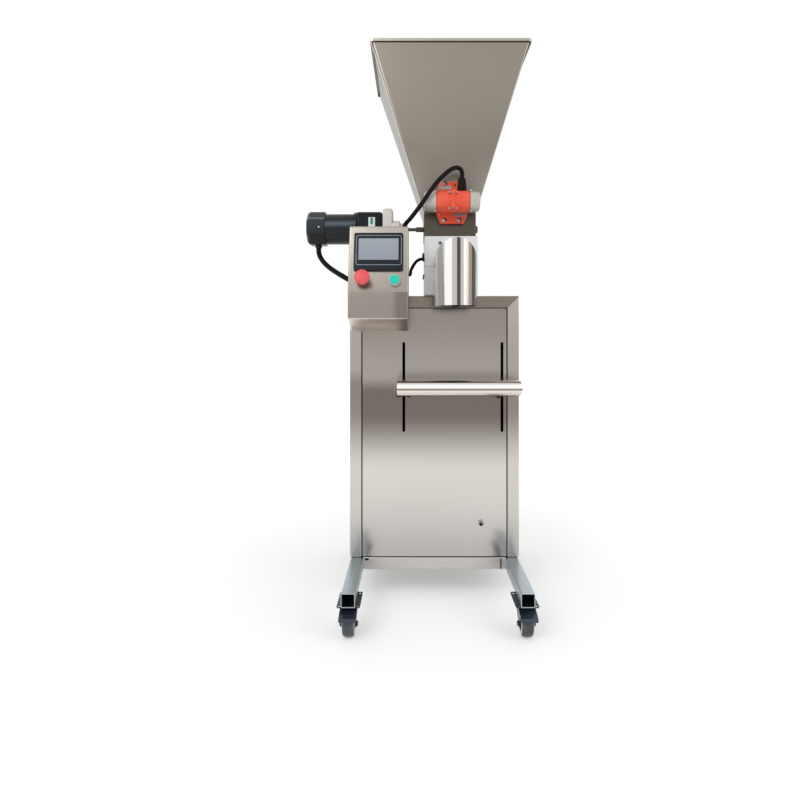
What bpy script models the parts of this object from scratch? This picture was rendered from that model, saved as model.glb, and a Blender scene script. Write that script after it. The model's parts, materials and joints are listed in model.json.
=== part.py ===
"""Powder dosing machine: a cabinet on casters that carries a hopper, a horizontal
feed screw with an elbow chute, a stirrer drive, a vibrator, a control box and a bag shelf.

Metres, +Z up. The machine is drawn with X across, Y running back from the cabinet's front
and Z up from the floor. An empty called machine then sets the whole of it on the origin.
"""
import math

import bmesh
import bpy
from mathutils import Vector

# General sizes
clearance = 0.0003          # between pieces that touch
overrun = 0.004             # how far a cut runs past a face
sheet = 0.0015              # wall of the folded stainless sheet
plate = 0.002               # flat panels
round_sides = 24
small_sides = 16
caster_sides = 18

# Base and cabinet
caster_height = 0.0826
tube = 0.036
tube_wall = 0.002
tube_corner = 0.003
leg_reach = 0.248
cabinet_width = 0.496
cabinet_depth = 0.400
cabinet_top = 0.885
leg_inset = 0.003
frame_face = 0.034
frame_edge = 0.0025
lip_width = 0.010
panel_gap = 0.003
panel_corner = 0.003
slot_width = 0.0084
slot_bottom = 0.486
slot_top = 0.750
slot_inset_left = 0.121     # from the panel's left edge to the left slot's middle
slot_inset_right = 0.013
service_margin = 0.060      # cabinet wall left round the service opening
service_lap = 0.014
louvre_length = 0.110
louvre_height = 0.006
louvre_pitch = 0.022
louvre_rows = 6
socket_x = 0.136
socket_z = 0.219
socket_radius = 0.0075
socket_bore = 0.0058
socket_reach = 0.009
socket_flange = 0.0095
socket_rim = 0.0015
socket_neck = 0.0064
socket_tail = 0.010
gland_x = 0.110
gland_z = 0.215
gland_radius = 0.012
gland_bore = 0.0045
gland_reach = 0.024
gland_depth = 0.016
drive_size = (0.105, 0.160, 0.200)
drive_fin = 0.003
drive_fin_reach = 0.020
drive_fins = 8
drive_height = 0.300

# Dosing line
dose_x = 0.054
screw_z = 0.9718
screw_radius = 0.039
screw_shaft = 0.012
screw_blade = 0.003
screw_turns = 3
barrel_bore = 0.040
barrel_wall = 0.004
spigot_length = 0.012
housing_x = 0.046
housing_width = 0.152
housing_front = -0.048
housing_back = 0.110
housing_seam = 0.9648
housing_edge = 0.0015
inlet_length = 0.092
inlet_width = 0.070
inlet_top_length = 0.128
inlet_top_width = 0.132
inlet_floor = 0.038         # above the screw's axis
chute_radius = 0.0585
chute_bottom = 0.8496
chute_sides = 36

# Hopper
neck_x = 0.0425
neck_y = 0.026
neck_width = 0.149
neck_depth = 0.142
neck_top = 1.1176
neck_corner = 0.003
rim_x = 0.044
rim_y = 0.1248
rim_width = 0.4485
rim_depth = 0.3875
rim_top = 1.6056
rim_corner = 0.006
hem_reach = 0.0025
hem_drop = 0.0075
neck_bottom = 1.0529

# Stirrer and its drive
stir_z = 1.084
stir_shaft = 0.005
stir_hole = 0.0065
stir_blades = 4
blade_reach = 0.042
blade_width = 0.012
blade_thick = 0.006
blade_pitch = 0.030
collar_radius = 0.0075
collar_left = -0.054
hub_end = -0.0796
hub_step = -0.1016
hub_big = 0.026
hub_small = 0.0185
drive_y = 0.054             # the motor's axis; its gearbox brings the shaft out further forward
drive_z = 1.0897
adapter_left = -0.1525
adapter_right = -0.1237
adapter_half = 0.0565
adapter_depth = 0.106
adapter_round = 0.022
gearbox_left = -0.2316
gearbox_half = 0.0450
gearbox_round = 0.007
flange_left = -0.2392
motor_left = -0.3245
motor_radius = 0.0455
flange_radius = 0.0500
cover_left = -0.3800
cover_radius = 0.0484       # half the width across its flats
cover_flats = 8
cover_nose = 0.014
cover_boss = 0.0100
cover_boss_x = -0.3480
cover_boss_drop = 0.008
stir_end_length = 0.0115
stir_end_flange = 0.016
stir_end_boss = 0.011
stir_end_plate = 0.004
pedestal_foot = (0.026, 0.102, 0.008)
pedestal_web = 0.010
pedestal_head = 0.030

# Vibrator
vib_x = 0.047
vib_z = 1.140
vib_axis_reach = 0.043      # from the plate's back to the barrel's axis
vib_width = 0.0937
vib_radius = 0.0300
vib_cap = 0.0275
vib_cap_left = 0.0327
vib_cap_radius = 0.0295
vib_cap_round = 0.004
vib_plate_thick = 0.011
vib_pad_least = 0.0032      # the pad's thickness at its top edge
vib_plate_half = 0.0440
vib_foot_half = 0.0330
vib_plate_top = 1.2040
vib_plate_bottom = 1.0850
vib_shoulder = 0.0300
vib_lug_rise = 0.0195
vib_lug_radius = 0.0085
vib_lug_length = 0.0120
vib_lug_reach = 0.0335
vib_pad_half = 0.0330
vib_pad_low = 1.0950
vib_pad_high = 1.1950
relief_x = 0.073
relief_radius = 0.0130
relief_tip = 0.0105
relief_top = 1.2050

# Control box
box_left = -0.2326
box_right = -0.0750
box_top = 1.0606
box_face_low = 0.8814
box_band_low = 0.8126
box_bottom = 0.7816
box_front = -0.203
box_lean = 0.047
box_lip = 0.066
box_edge = 0.004
screen_width = 0.130
screen_height = 0.1065
screen_drop = 0.0217        # from the face's top edge to the bezel
screen_proud = 0.007
screen_body_width = 0.118
screen_body_height = 0.092
screen_body_depth = 0.030
screen_corner = 0.005
display_width = 0.1056
display_height = 0.0610
display_rise = 0.0068       # display centre above the bezel's centre
display_sink = 0.001
display_thick = 0.0015
control_up = 0.030          # control buttons above the face's lower edge
stop_across = -0.0400       # from the box's middle
start_across = 0.0430
button_hole = 0.0112
stop_ring_radius = 0.0170
stop_ring_height = 0.0130
stop_stem_radius = 0.0085
stop_stem_tail = 0.018
stop_travel = 0.005
stop_head_low = 0.0220
stop_head_high = 0.0400
stop_head_radius = 0.0200
start_ring_radius = 0.0148
start_ring_height = 0.0125
start_bore = 0.0122
start_travel = 0.003
start_high = 0.0145

# Shelf
shelf_reach_left = 0.015    # past the slots' middles
shelf_reach_right = 0.018
shelf_top = 0.650
roll_radius = 0.021
roll_axis_y = -0.172
roll_dome = 0.011
roll_drain = 0.003
back_flange = 0.057
gusset_reach = 0.145
gusset_drop = 0.050
gusset_inset = 0.034        # from a stud to the gusset beside it
stud_z = 0.6056
stud_radius = 0.0038
stud_hole = 0.0045
clamp_bar_half = 0.014
clamp_bar_thick = 0.006
bar_reach_left = 0.014
bar_reach_right = 0.005
knob_reach = 0.025
knob_lobe = 0.0075
knob_core = 0.0115
knob_lobes = 3
knob_thick = 0.013
knob_hub = 0.009
knob_hub_radius = 0.009
knob_cover = 0.004

# Casters
caster_y = -0.1975
rear_caster_inset = 0.052
plate_width = 0.060
plate_length = 0.094
plate_thick = 0.0025
plate_corner = 0.007
plate_slot_across = 0.046
plate_slot_along = 0.076
plate_slot_width = 0.0065
plate_slot_length = 0.012
race_radius = 0.0220
king_radius = 0.0050
king_head = 0.0085
king_head_thick = 0.0028
wheel_radius = 0.0315
wheel_width = 0.030
wheel_crown = 0.007
wheel_bore = 0.0045
hub_face = 0.0180
trail = 0.025
fork_gap = 0.0165           # half the room between the fork's cheeks
fork_sheet = 0.0025
fork_top = 0.0668
fork_crown = 0.0240
fork_lug = 0.0095
axle_radius = 0.0040
axle_nut = 0.0070
axle_nut_reach = 0.0040
crown_back = -0.0295
cheek_back = -0.0420
cheek_knee = 0.0580
pedal_half = 0.0220
pedal_thick = 0.0040
pedal_pin_y = -0.0355
pedal_pin_z = 0.0652
pedal_pin_radius = 0.0028
pedal_heel = (0.0010, 0.0100)       # from the pin, back and up
pedal_tip = (-0.0340, -0.0015)
pedal_lip = 0.0050

# Cables: radii, and routes of points chosen by hand
vib_cable_radius = 0.0060
motor_cable_radius = 0.0075
sensor_cable_radius = 0.0045
cable_hole_gap = 0.0006
cable_steps = 2


def half_of(a, b):
    """The middle between two places."""
    return (a + b) / 2


def hopper_front(height):
    """Where the hopper's front wall stands at a height."""
    low = neck_y - neck_depth / 2
    high = rim_y - rim_depth / 2
    return low + (high - low) * max(0, height - neck_top) / (rim_top - sheet - neck_top)


leg_x = cabinet_width / 2 - leg_inset - tube / 2
base_top = caster_height + tube
frame_bottom = base_top + clearance
panel_half = cabinet_width / 2 - frame_face - panel_gap
panel_back = clearance + plate
box_middle = half_of(box_left, box_right)
box_back = -2 * clearance - plate
box_lean_angle = math.atan2(box_lean, box_top - box_face_low)
face_length = math.hypot(box_lean, box_top - box_face_low)
slot_x = [slot_inset_left - panel_half, panel_half - slot_inset_right]
shelf_left = slot_x[0] - shelf_reach_left
shelf_right = slot_x[1] + shelf_reach_right
clamp_bar_left = slot_x[0] - bar_reach_left
clamp_bar_right = slot_x[1] + bar_reach_right
rear_caster_y = cabinet_depth - rear_caster_inset

vib_plate_back = hopper_front(vib_pad_high) - vib_pad_least
vib_plate_front = vib_plate_back - vib_plate_thick
vib_axis_y = vib_plate_back - vib_axis_reach

# Collections and the empty that sets the machine on the origin
for old in list(bpy.data.objects):
    bpy.data.objects.remove(old, do_unlink=True)
parts = bpy.data.collections.new("powder_dosing_machine")
guides = bpy.data.collections.new("cutters")
bpy.context.scene.collection.children.link(parts)
bpy.context.scene.collection.children.link(guides)
guides.hide_render = True


def empty(name, location=(0, 0, 0), rotation=(0, 0, 0), parent=None):
    """A named place that pieces hang on."""
    holder = bpy.data.objects.new(name, None)
    parts.objects.link(holder)
    holder.parent = parent
    holder.location = location
    holder.rotation_euler = rotation
    return holder


machine = empty("machine")


def finish(name, colour, roughness, metallic):
    """A Principled material."""
    material = bpy.data.materials.new(name)
    material.use_nodes = True
    shader = material.node_tree.nodes["Principled BSDF"]
    shader.inputs["Base Color"].default_value = (*colour, 1)
    shader.inputs["Roughness"].default_value = roughness
    shader.inputs["Metallic"].default_value = metallic
    return material


satin_steel = finish("satin_steel", (0.52, 0.50, 0.46), 0.32, 1)
polished_steel = finish("polished_steel", (0.72, 0.70, 0.68), 0.12, 1)
black_paint = finish("black_paint", (0.02, 0.022, 0.028), 0.35, 0)
cast_pale = finish("cast_pale", (0.74, 0.72, 0.69), 0.5, 0)
housing_white = finish("housing_white", (0.62, 0.64, 0.68), 0.4, 0)
orange_paint = finish("orange_paint", (0.83, 0.10, 0.04), 0.4, 0)
grey_cast = finish("grey_cast", (0.38, 0.38, 0.37), 0.5, 0)
black_rubber = finish("black_rubber", (0.015, 0.015, 0.016), 0.6, 0)
black_plastic = finish("black_plastic", (0.02, 0.024, 0.032), 0.4, 0)
screen_glass = finish("screen_glass", (0.35, 0.38, 0.43), 0.15, 0)
stop_red = finish("stop_red", (0.80, 0.10, 0.11), 0.35, 0)
start_green = finish("start_green", (0.0, 0.68, 0.45), 0.35, 0)
ring_pale = finish("ring_pale", (0.66, 0.70, 0.69), 0.35, 0)
caster_black = finish("caster_black", (0.02, 0.024, 0.032), 0.4, 0)

lying_x = (math.pi / 2, 0, math.pi / 2)      # outline's x runs back, its y up, its depth along X
facing = (math.pi / 2, 0, 0)                 # outline's x runs across, its y up, its depth along -Y
along_x = (0, math.pi / 2, 0)                # a turned piece's top points to +X
along_back = (-math.pi / 2, 0, 0)            # a turned piece's top points to +Y


def show(name, mesh, material, location=(0, 0, 0), rotation=(0, 0, 0), parent=machine):
    """Put a mesh in the scene as one sub-part."""
    piece = bpy.data.objects.new(name, mesh)
    parts.objects.link(piece)
    piece.parent = parent
    piece.location = location
    piece.rotation_euler = rotation
    if not mesh.materials:
        mesh.materials.append(material)
    mesh.shade_smooth()
    mesh.set_sharp_from_angle(angle=math.radians(35))
    return piece


def guide(piece):
    """Turn a piece into a cutter or a tool of a Boolean."""
    parts.objects.unlink(piece)
    guides.objects.link(piece)
    piece.hide_render = True
    piece.display_type = 'WIRE'
    return piece


def boolean(target, tool, operation):
    """Cut, fuse or trim a piece with another one."""
    guide(tool)
    step = target.modifiers.new(operation.lower(), 'BOOLEAN')
    step.operation = operation
    step.solver = 'EXACT'
    step.object = tool
    return target


def cut(target, *tools):
    """Take tools away from a piece."""
    for tool in tools:
        boolean(target, tool, 'DIFFERENCE')
    return target


def fuse(target, *tools):
    """Weld tools onto a piece."""
    for tool in tools:
        boolean(target, tool, 'UNION')
    return target


def trim(target, tool):
    """Keep what a piece and a tool share."""
    return boolean(target, tool, 'INTERSECT')


def soften(piece, width, segments=2):
    """Round a piece's edges."""
    step = piece.modifiers.new("bevel", 'BEVEL')
    step.width = width
    step.segments = segments
    step.limit_method = 'ANGLE'
    step.angle_limit = math.radians(40)
    return piece


def mesh_of(shape, name):
    """Close a bmesh into a mesh."""
    mesh = bpy.data.meshes.new(name)
    shape.to_mesh(mesh)
    shape.free()
    return mesh


def block(name, low, high, material, parent=machine, edge=0):
    """A block between two corners."""
    low, high = Vector(low), Vector(high)
    shape = bmesh.new()
    bmesh.ops.create_cube(shape, size=1)
    bmesh.ops.scale(shape, vec=high - low, verts=shape.verts)
    piece = show(name, mesh_of(shape, name), material, (low + high) / 2, parent=parent)
    if edge:
        soften(piece, edge)
    return piece


def rod(name, radius, length, material, location, rotation=(0, 0, 0), parent=machine,
        sides=small_sides, tip=None):
    """A cylinder or cone about its own Z, centred on its location."""
    shape = bmesh.new()
    bmesh.ops.create_cone(shape, cap_ends=True, segments=sides, radius1=radius,
                          radius2=radius if tip is None else tip, depth=length)
    return show(name, mesh_of(shape, name), material, location, rotation, parent)


def turned(name, profile, material, location=(0, 0, 0), rotation=(0, 0, 0), parent=machine,
           ring=False, sides=round_sides):
    """A profile of (radius, height) points, outer side running down, turned about Z."""
    shape = bmesh.new()
    line = [shape.verts.new((radius, 0, height)) for radius, height in profile]
    pairs = list(zip(line, line[1:]))
    if ring:
        pairs.append((line[-1], line[0]))
    for start, end in pairs:
        shape.edges.new((start, end))
    piece = show(name, mesh_of(shape, name), material, location, rotation, parent)
    step = piece.modifiers.new("turn", 'SCREW')
    step.axis = 'Z'
    step.steps = sides
    step.render_steps = sides
    step.use_merge_vertices = True
    step.merge_threshold = 0.00001
    step.use_smooth_shade = True
    return piece


def outline(name, loops, depth, material, location=(0, 0, 0), rotation=(0, 0, 0),
            parent=machine):
    """A flat outline, with holes where further loops lie inside it, given a thickness."""
    curve = bpy.data.curves.new(name, 'CURVE')
    curve.dimensions = '2D'
    curve.fill_mode = 'BOTH'
    curve.extrude = depth / 2
    for loop in loops:
        spline = curve.splines.new('POLY')
        spline.points.add(len(loop) - 1)
        for point, (x, y) in zip(spline.points, loop):
            point.co = (x, y, 0, 1)
        spline.use_cyclic_u = True
    holder = bpy.data.objects.new(name, curve)
    guides.objects.link(holder)
    found = holder.evaluated_get(bpy.context.evaluated_depsgraph_get())
    mesh = bpy.data.meshes.new_from_object(found)
    bpy.data.objects.remove(holder)
    shape = bmesh.new()
    shape.from_mesh(mesh)
    bmesh.ops.remove_doubles(shape, verts=shape.verts, dist=0.000001)
    if len(loops) == 1:
        bmesh.ops.dissolve_limit(shape, angle_limit=math.radians(1), verts=shape.verts,
                                 edges=shape.edges)
    bmesh.ops.recalc_face_normals(shape, faces=shape.faces)
    shape.to_mesh(mesh)
    shape.free()
    mesh.materials.clear()
    return show(name, mesh, material, location, rotation, parent)


def loft(name, loops, material, capped=True, location=(0, 0, 0), rotation=(0, 0, 0),
         parent=machine):
    """Faces between loops that run counter-clockwise seen from the last one."""
    shape = bmesh.new()
    rings = [[shape.verts.new(point) for point in loop] for loop in loops]
    for low, high in zip(rings, rings[1:]):
        for i in range(len(low)):
            j = (i + 1) % len(low)
            shape.faces.new((low[i], low[j], high[j], high[i]))
    if capped:
        shape.faces.new(list(reversed(rings[0])))
        shape.faces.new(rings[-1])
    return show(name, mesh_of(shape, name), material, location, rotation, parent)


def thicken(piece, wall):
    """Give an open surface a wall on its inner side."""
    step = piece.modifiers.new("wall", 'SOLIDIFY')
    step.thickness = wall
    step.offset = -1
    step.use_even_offset = True
    return piece


def arc(centre, radius, start, end, steps):
    """Points on an arc, angles in degrees."""
    points = []
    for i in range(steps + 1):
        angle = math.radians(start + (end - start) * i / steps)
        points.append((centre[0] + radius * math.cos(angle), centre[1] + radius * math.sin(angle)))
    return points


def circle(centre, radius, sides=small_sides):
    """Points round a circle."""
    return arc(centre, radius, 0, 360 - 360 / sides, sides - 1)


def rounded(width, height, radius, steps=3, centre=(0, 0)):
    """A rectangle with round corners."""
    x, y = width / 2 - radius, height / 2 - radius
    points = []
    for sx, sy, turn in ((1, 1, 0), (-1, 1, 90), (-1, -1, 180), (1, -1, 270)):
        points += arc((centre[0] + sx * x, centre[1] + sy * y), radius, turn, turn + 90, steps)
    return points


def slot(centre, width, length, upright=True, steps=6):
    """A slot with round ends."""
    reach = length / 2 - width / 2
    if upright:
        return (arc((centre[0], centre[1] + reach), width / 2, 0, 180, steps)
                + arc((centre[0], centre[1] - reach), width / 2, 180, 360, steps))
    return (arc((centre[0] + reach, centre[1]), width / 2, -90, 90, steps)
            + arc((centre[0] - reach, centre[1]), width / 2, 90, 270, steps))


def inset(loop, distance):
    """Move each side of a counter-clockwise outline inwards."""
    moved = []
    for i, point in enumerate(loop):
        before = Vector(loop[i - 1])
        here = Vector(point)
        after = Vector(loop[(i + 1) % len(loop)])
        first = (here - before).normalized()
        second = (after - here).normalized()
        normal_a = Vector((-first.y, first.x))
        normal_b = Vector((-second.y, second.x))
        reach = distance / (1 + normal_a.dot(normal_b))
        moved.append(tuple(here + (normal_a + normal_b) * reach))
    return moved


def smooth_route(points, steps):
    """A smooth curve through a cable's own points, with a straight piece at each end."""
    points = [Vector(point) for point in points]
    route = [points[0]]
    for i in range(1, len(points) - 2):
        a, b, c, d = points[i - 1:i + 3]
        for k in range(steps):
            t = k / steps
            route.append(0.5 * ((2 * b) + (c - a) * t + (2 * a - 5 * b + 4 * c - d) * t * t
                                + (3 * b - a - 3 * c + d) * t * t * t))
    return route + points[-2:]


def cable(name, points, radius, steps=cable_steps):
    """A round cable along a hand-picked route."""
    curve = bpy.data.curves.new(name, 'CURVE')
    curve.dimensions = '3D'
    curve.bevel_depth = radius
    curve.bevel_resolution = 2
    curve.use_fill_caps = True
    spline = curve.splines.new('POLY')
    route = smooth_route(points, steps)
    spline.points.add(len(route) - 1)
    for point, place in zip(spline.points, route):
        point.co = (*place, 1)
    curve.materials.append(black_rubber)
    piece = bpy.data.objects.new(name, curve)
    parts.objects.link(piece)
    piece.parent = machine
    return piece


def build_base():
    """H-shaped base of square tube with open front ends."""
    section = [rounded(tube, tube, tube_corner),
               rounded(tube - 2 * tube_wall, tube - 2 * tube_wall, tube_corner - tube_wall)]
    level = caster_height + tube / 2
    for side, sign in (("left", -1), ("right", 1)):
        outline("base_leg_" + side, section, leg_reach + cabinet_depth, satin_steel,
                (sign * leg_x, (cabinet_depth - leg_reach) / 2, level), facing)
    span = 2 * leg_x - tube - 2 * clearance
    for end, y in (("front", tube / 2), ("rear", cabinet_depth - tube / 2)):
        outline("base_cross_" + end, section, span, satin_steel, (0, y, level), lying_x)


def frame_outline(shrink, drop):
    """The front frame's face: two posts and a head, open at the foot."""
    wide = cabinet_width / 2 - shrink
    inner = cabinet_width / 2 - frame_face + shrink
    head = cabinet_top - frame_face + shrink
    low = frame_bottom - drop
    high = cabinet_top - shrink
    return [(-wide, low), (-inner, low), (-inner, head), (inner, head), (inner, low),
            (wide, low), (wide, high), (-wide, high)]


def build_cabinet():
    """Front frame, slotted panel, shell and service cover."""
    frame = outline("front_frame", [frame_outline(0, 0)], tube, satin_steel, (0, tube / 2, 0), facing)
    soften(frame, frame_edge, 2)
    lip = panel_back + clearance
    inner = cabinet_width / 2 - frame_face
    foot = frame_bottom + plate
    lip_loop = [(-inner - sheet / 2, foot), (-inner + lip_width, foot),
                (-inner + lip_width, cabinet_top - frame_face - lip_width),
                (inner - lip_width, cabinet_top - frame_face - lip_width),
                (inner - lip_width, foot), (inner + sheet / 2, foot),
                (inner + sheet / 2, cabinet_top - frame_face + sheet / 2),
                (-inner - sheet / 2, cabinet_top - frame_face + sheet / 2)]
    fuse(frame, outline("frame_lip", [lip_loop], plate, satin_steel, (0, lip + plate / 2, 0), facing))
    cut(frame, outline("frame_bore", [frame_outline(plate, overrun)], tube - 2 * plate, satin_steel,
                       (0, tube / 2, 0), facing))

    low, high = base_top + panel_gap, cabinet_top - frame_face - panel_gap
    face = [rounded(2 * panel_half, high - low, panel_corner, 3, (0, half_of(low, high)))]
    for x in slot_x:
        face.append(slot((x, half_of(slot_bottom, slot_top)), slot_width, slot_top - slot_bottom))
    face.append(circle((socket_x, socket_z), socket_neck + clearance))
    outline("front_panel", face, plate, satin_steel, (0, clearance + plate / 2, 0), facing)

    wide = cabinet_width / 2
    front = tube + clearance
    shell = block("cabinet_shell", (-wide, front, frame_bottom), (wide, cabinet_depth, cabinet_top),
                  satin_steel, edge=frame_edge)
    room = block("cabinet_room", (-wide + sheet, front - overrun, frame_bottom + sheet),
                 (wide - sheet, cabinet_depth - sheet, cabinet_top - sheet), satin_steel)
    service_low, service_high = base_top + service_margin, cabinet_top - service_margin
    door_way = block("service_way", (-wide + service_margin, cabinet_depth - tube, service_low),
                     (wide - service_margin, cabinet_depth + overrun, service_high), satin_steel)
    cut(shell, room, door_way)

    cover_wide = 2 * (wide - service_margin + service_lap)
    cover_tall = service_high - service_low + 2 * service_lap
    middle = half_of(service_low, service_high)
    loops = [rounded(cover_wide, cover_tall, panel_corner, 3, (0, middle))]
    first = service_high - louvre_pitch * 2
    for row in range(louvre_rows):
        for side in (-1, 1):
            loops.append(slot((side * louvre_length * 0.7, first - row * louvre_pitch), louvre_height,
                              louvre_length, upright=False, steps=2))
    loops.append(circle((gland_x, gland_z), gland_radius * 0.7 + clearance))
    outline("service_cover", loops, sheet, satin_steel,
            (0, cabinet_depth + clearance + sheet / 2, 0), facing)


def build_inlets():
    """Foot-switch socket, mains gland and the drive unit inside."""
    shoulder = socket_rim + clearance
    profile = [(0, shoulder + socket_rim), (socket_bore, shoulder + socket_rim),
               (socket_bore, socket_reach), (socket_radius, socket_reach), (socket_radius, shoulder),
               (socket_flange, shoulder), (socket_flange, clearance), (socket_neck, clearance),
               (socket_neck, -socket_tail), (0, -socket_tail)]
    turned("foot_socket", profile, polished_steel, (socket_x, clearance, socket_z), facing,
           sides=small_sides)

    neck = gland_radius * 0.7
    step = gland_reach / 3
    profile = [(0, gland_reach - gland_depth), (gland_bore, gland_reach - gland_depth),
               (gland_bore, gland_reach), (neck, gland_reach), (gland_radius * 0.9, step * 2),
               (gland_radius, step * 2), (gland_radius, clearance), (neck, clearance),
               (neck, -step), (0, -step)]
    turned("mains_gland", profile, black_plastic,
           (gland_x, cabinet_depth + clearance + sheet, gland_z), along_back, sides=small_sides)

    left = -cabinet_width / 2 + sheet + clearance
    wide, deep, tall = drive_size
    near = cabinet_depth / 2 - deep / 2
    comb = [(left, near + deep), (left, near)]
    pitch = deep / drive_fins
    for i in range(drive_fins):
        y = near + pitch * i
        comb += [(left + wide, y), (left + wide, y + drive_fin),
                 (left + wide - drive_fin_reach, y + drive_fin),
                 (left + wide - drive_fin_reach, y + pitch)]
    outline("drive_unit", [comb], tall, grey_cast, (0, 0, drive_height + tall / 2))


def box_profile():
    """The control box from the side: (back, up) points, counter-clockwise."""
    rear = box_back - clearance + 2 * box_edge
    return [(rear, box_bottom), (rear, box_top), (box_front + box_lean, box_top),
            (box_front, box_face_low), (box_front, box_band_low), (box_front + box_lip, box_bottom)]


def build_control_box():
    """Folded box with a leaning face, screen, stop button and start button."""
    wide = box_right - box_left
    loop = box_profile()
    shell = outline("control_box", [loop], wide, satin_steel, (box_middle, 0, 0), lying_x)
    soften(shell, box_edge, 3)
    room = inset(loop, sheet)
    cut(shell, outline("box_room", [room], wide - 2 * sheet, satin_steel, (box_middle, 0, 0), lying_x),
        block("box_rear", (box_left - overrun, box_back - clearance, box_bottom - overrun),
              (box_right + overrun, box_back + 3 * box_edge, box_top + overrun), satin_steel))

    half_plate = rounded(wide - 2 * box_edge, box_top - box_bottom - 2 * box_edge, box_edge, 3,
                         (box_middle, half_of(box_top, box_bottom)))
    outline("box_back", [half_plate], plate, satin_steel, (0, -clearance - plate / 2, 0), facing)

    face = empty("box_face", (box_middle, box_front, box_face_low),
                 (math.pi / 2 - box_lean_angle, 0, 0), machine)

    screen_up = face_length - screen_drop - screen_height / 2
    bezel = outline("screen_bezel", [rounded(screen_width, screen_height, screen_corner)],
                    screen_proud, black_plastic, (0, screen_up, clearance + screen_proud / 2), parent=face)
    soften(bezel, clearance * 5, 2)
    body = block("screen_body",
                 (-screen_body_width / 2, screen_up - screen_body_height / 2, -screen_body_depth),
                 (screen_body_width / 2, screen_up + screen_body_height / 2, clearance + screen_proud / 2),
                 black_plastic, parent=face)
    display_mid = screen_up + display_rise
    face_z = clearance + screen_proud
    sink = display_sink + display_thick + clearance
    recess = block("display_recess",
                   (-display_width / 2 - clearance, display_mid - display_height / 2 - clearance,
                    face_z - sink),
                   (display_width / 2 + clearance, display_mid + display_height / 2 + clearance,
                    face_z + overrun), black_plastic, parent=face)
    fuse(bezel, body)
    cut(bezel, recess)
    block("display", (-display_width / 2, display_mid - display_height / 2, face_z - sink + clearance),
          (display_width / 2, display_mid + display_height / 2, face_z - display_sink),
          screen_glass, parent=face)
    window = block("screen_window", (-screen_body_width / 2 - clearance,
                                     screen_up - screen_body_height / 2 - clearance, -sheet - overrun),
                   (screen_body_width / 2 + clearance, screen_up + screen_body_height / 2 + clearance,
                    overrun), satin_steel, parent=face)
    cut(shell, window)

    for x in (stop_across, start_across):
        cut(shell, rod("button_way", button_hole, 2 * overrun, satin_steel, (x, control_up, 0), parent=face))

    bore = stop_stem_radius + clearance
    skirt = stop_ring_height
    ring = [(stop_ring_radius * 0.9, skirt), (stop_ring_radius, skirt * 0.6), (stop_ring_radius, clearance),
            (button_hole - clearance, clearance), (button_hole - clearance, -skirt), (bore, -skirt),
            (bore, skirt)]
    turned("stop_ring", ring, stop_red, (stop_across, control_up, 0), parent=face, ring=True,
           sides=20)
    pressed = empty("stop_press_axis", (stop_across, control_up, 0), parent=face)
    rod("stop_stem", stop_stem_radius, stop_stem_tail + stop_head_low + stop_travel, stop_red,
        (0, 0, half_of(-stop_stem_tail, stop_head_low + stop_travel)), parent=pressed)
    crown = stop_head_high - stop_head_low
    hollow = stop_head_low + stop_travel + clearance
    head = [(0, stop_head_high), (stop_head_radius * 0.62, stop_head_high - crown * 0.06),
            (stop_head_radius * 0.88, stop_head_high - crown * 0.2),
            (stop_head_radius, stop_head_high - crown * 0.45),
            (stop_head_radius, stop_head_low + crown * 0.25),
            (stop_head_radius * 0.93, stop_head_low), (bore, stop_head_low), (bore, hollow), (0, hollow)]
    turned("stop_head", head, stop_red, parent=pressed, sides=20)

    bore = start_bore + clearance
    cup = [(0, -start_ring_height + plate), (button_hole - plate, -start_ring_height + plate),
           (button_hole - plate, plate), (bore, plate), (bore, start_ring_height),
           (start_ring_radius * 0.96, start_ring_height), (start_ring_radius, start_ring_height * 0.9),
           (start_ring_radius, clearance), (button_hole - clearance, clearance),
           (button_hole - clearance, -start_ring_height), (0, -start_ring_height)]
    turned("start_ring", cup, ring_pale, (start_across, control_up, 0), parent=face, sides=20)
    pushed = empty("start_press_axis", (start_across, control_up, 0), parent=face)
    cap_low = plate + start_travel + clearance
    cap = [(0, start_high), (start_bore * 0.9, start_high), (start_bore, start_high - clearance * 4),
           (start_bore, cap_low), (button_hole - plate - clearance * 2, cap_low),
           (button_hole - plate - clearance * 2, -start_ring_height + plate + start_travel + clearance),
           (0, -start_ring_height + plate + start_travel + clearance)]
    turned("start_button", cap, start_green, parent=pushed, sides=20)
    return shell


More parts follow.
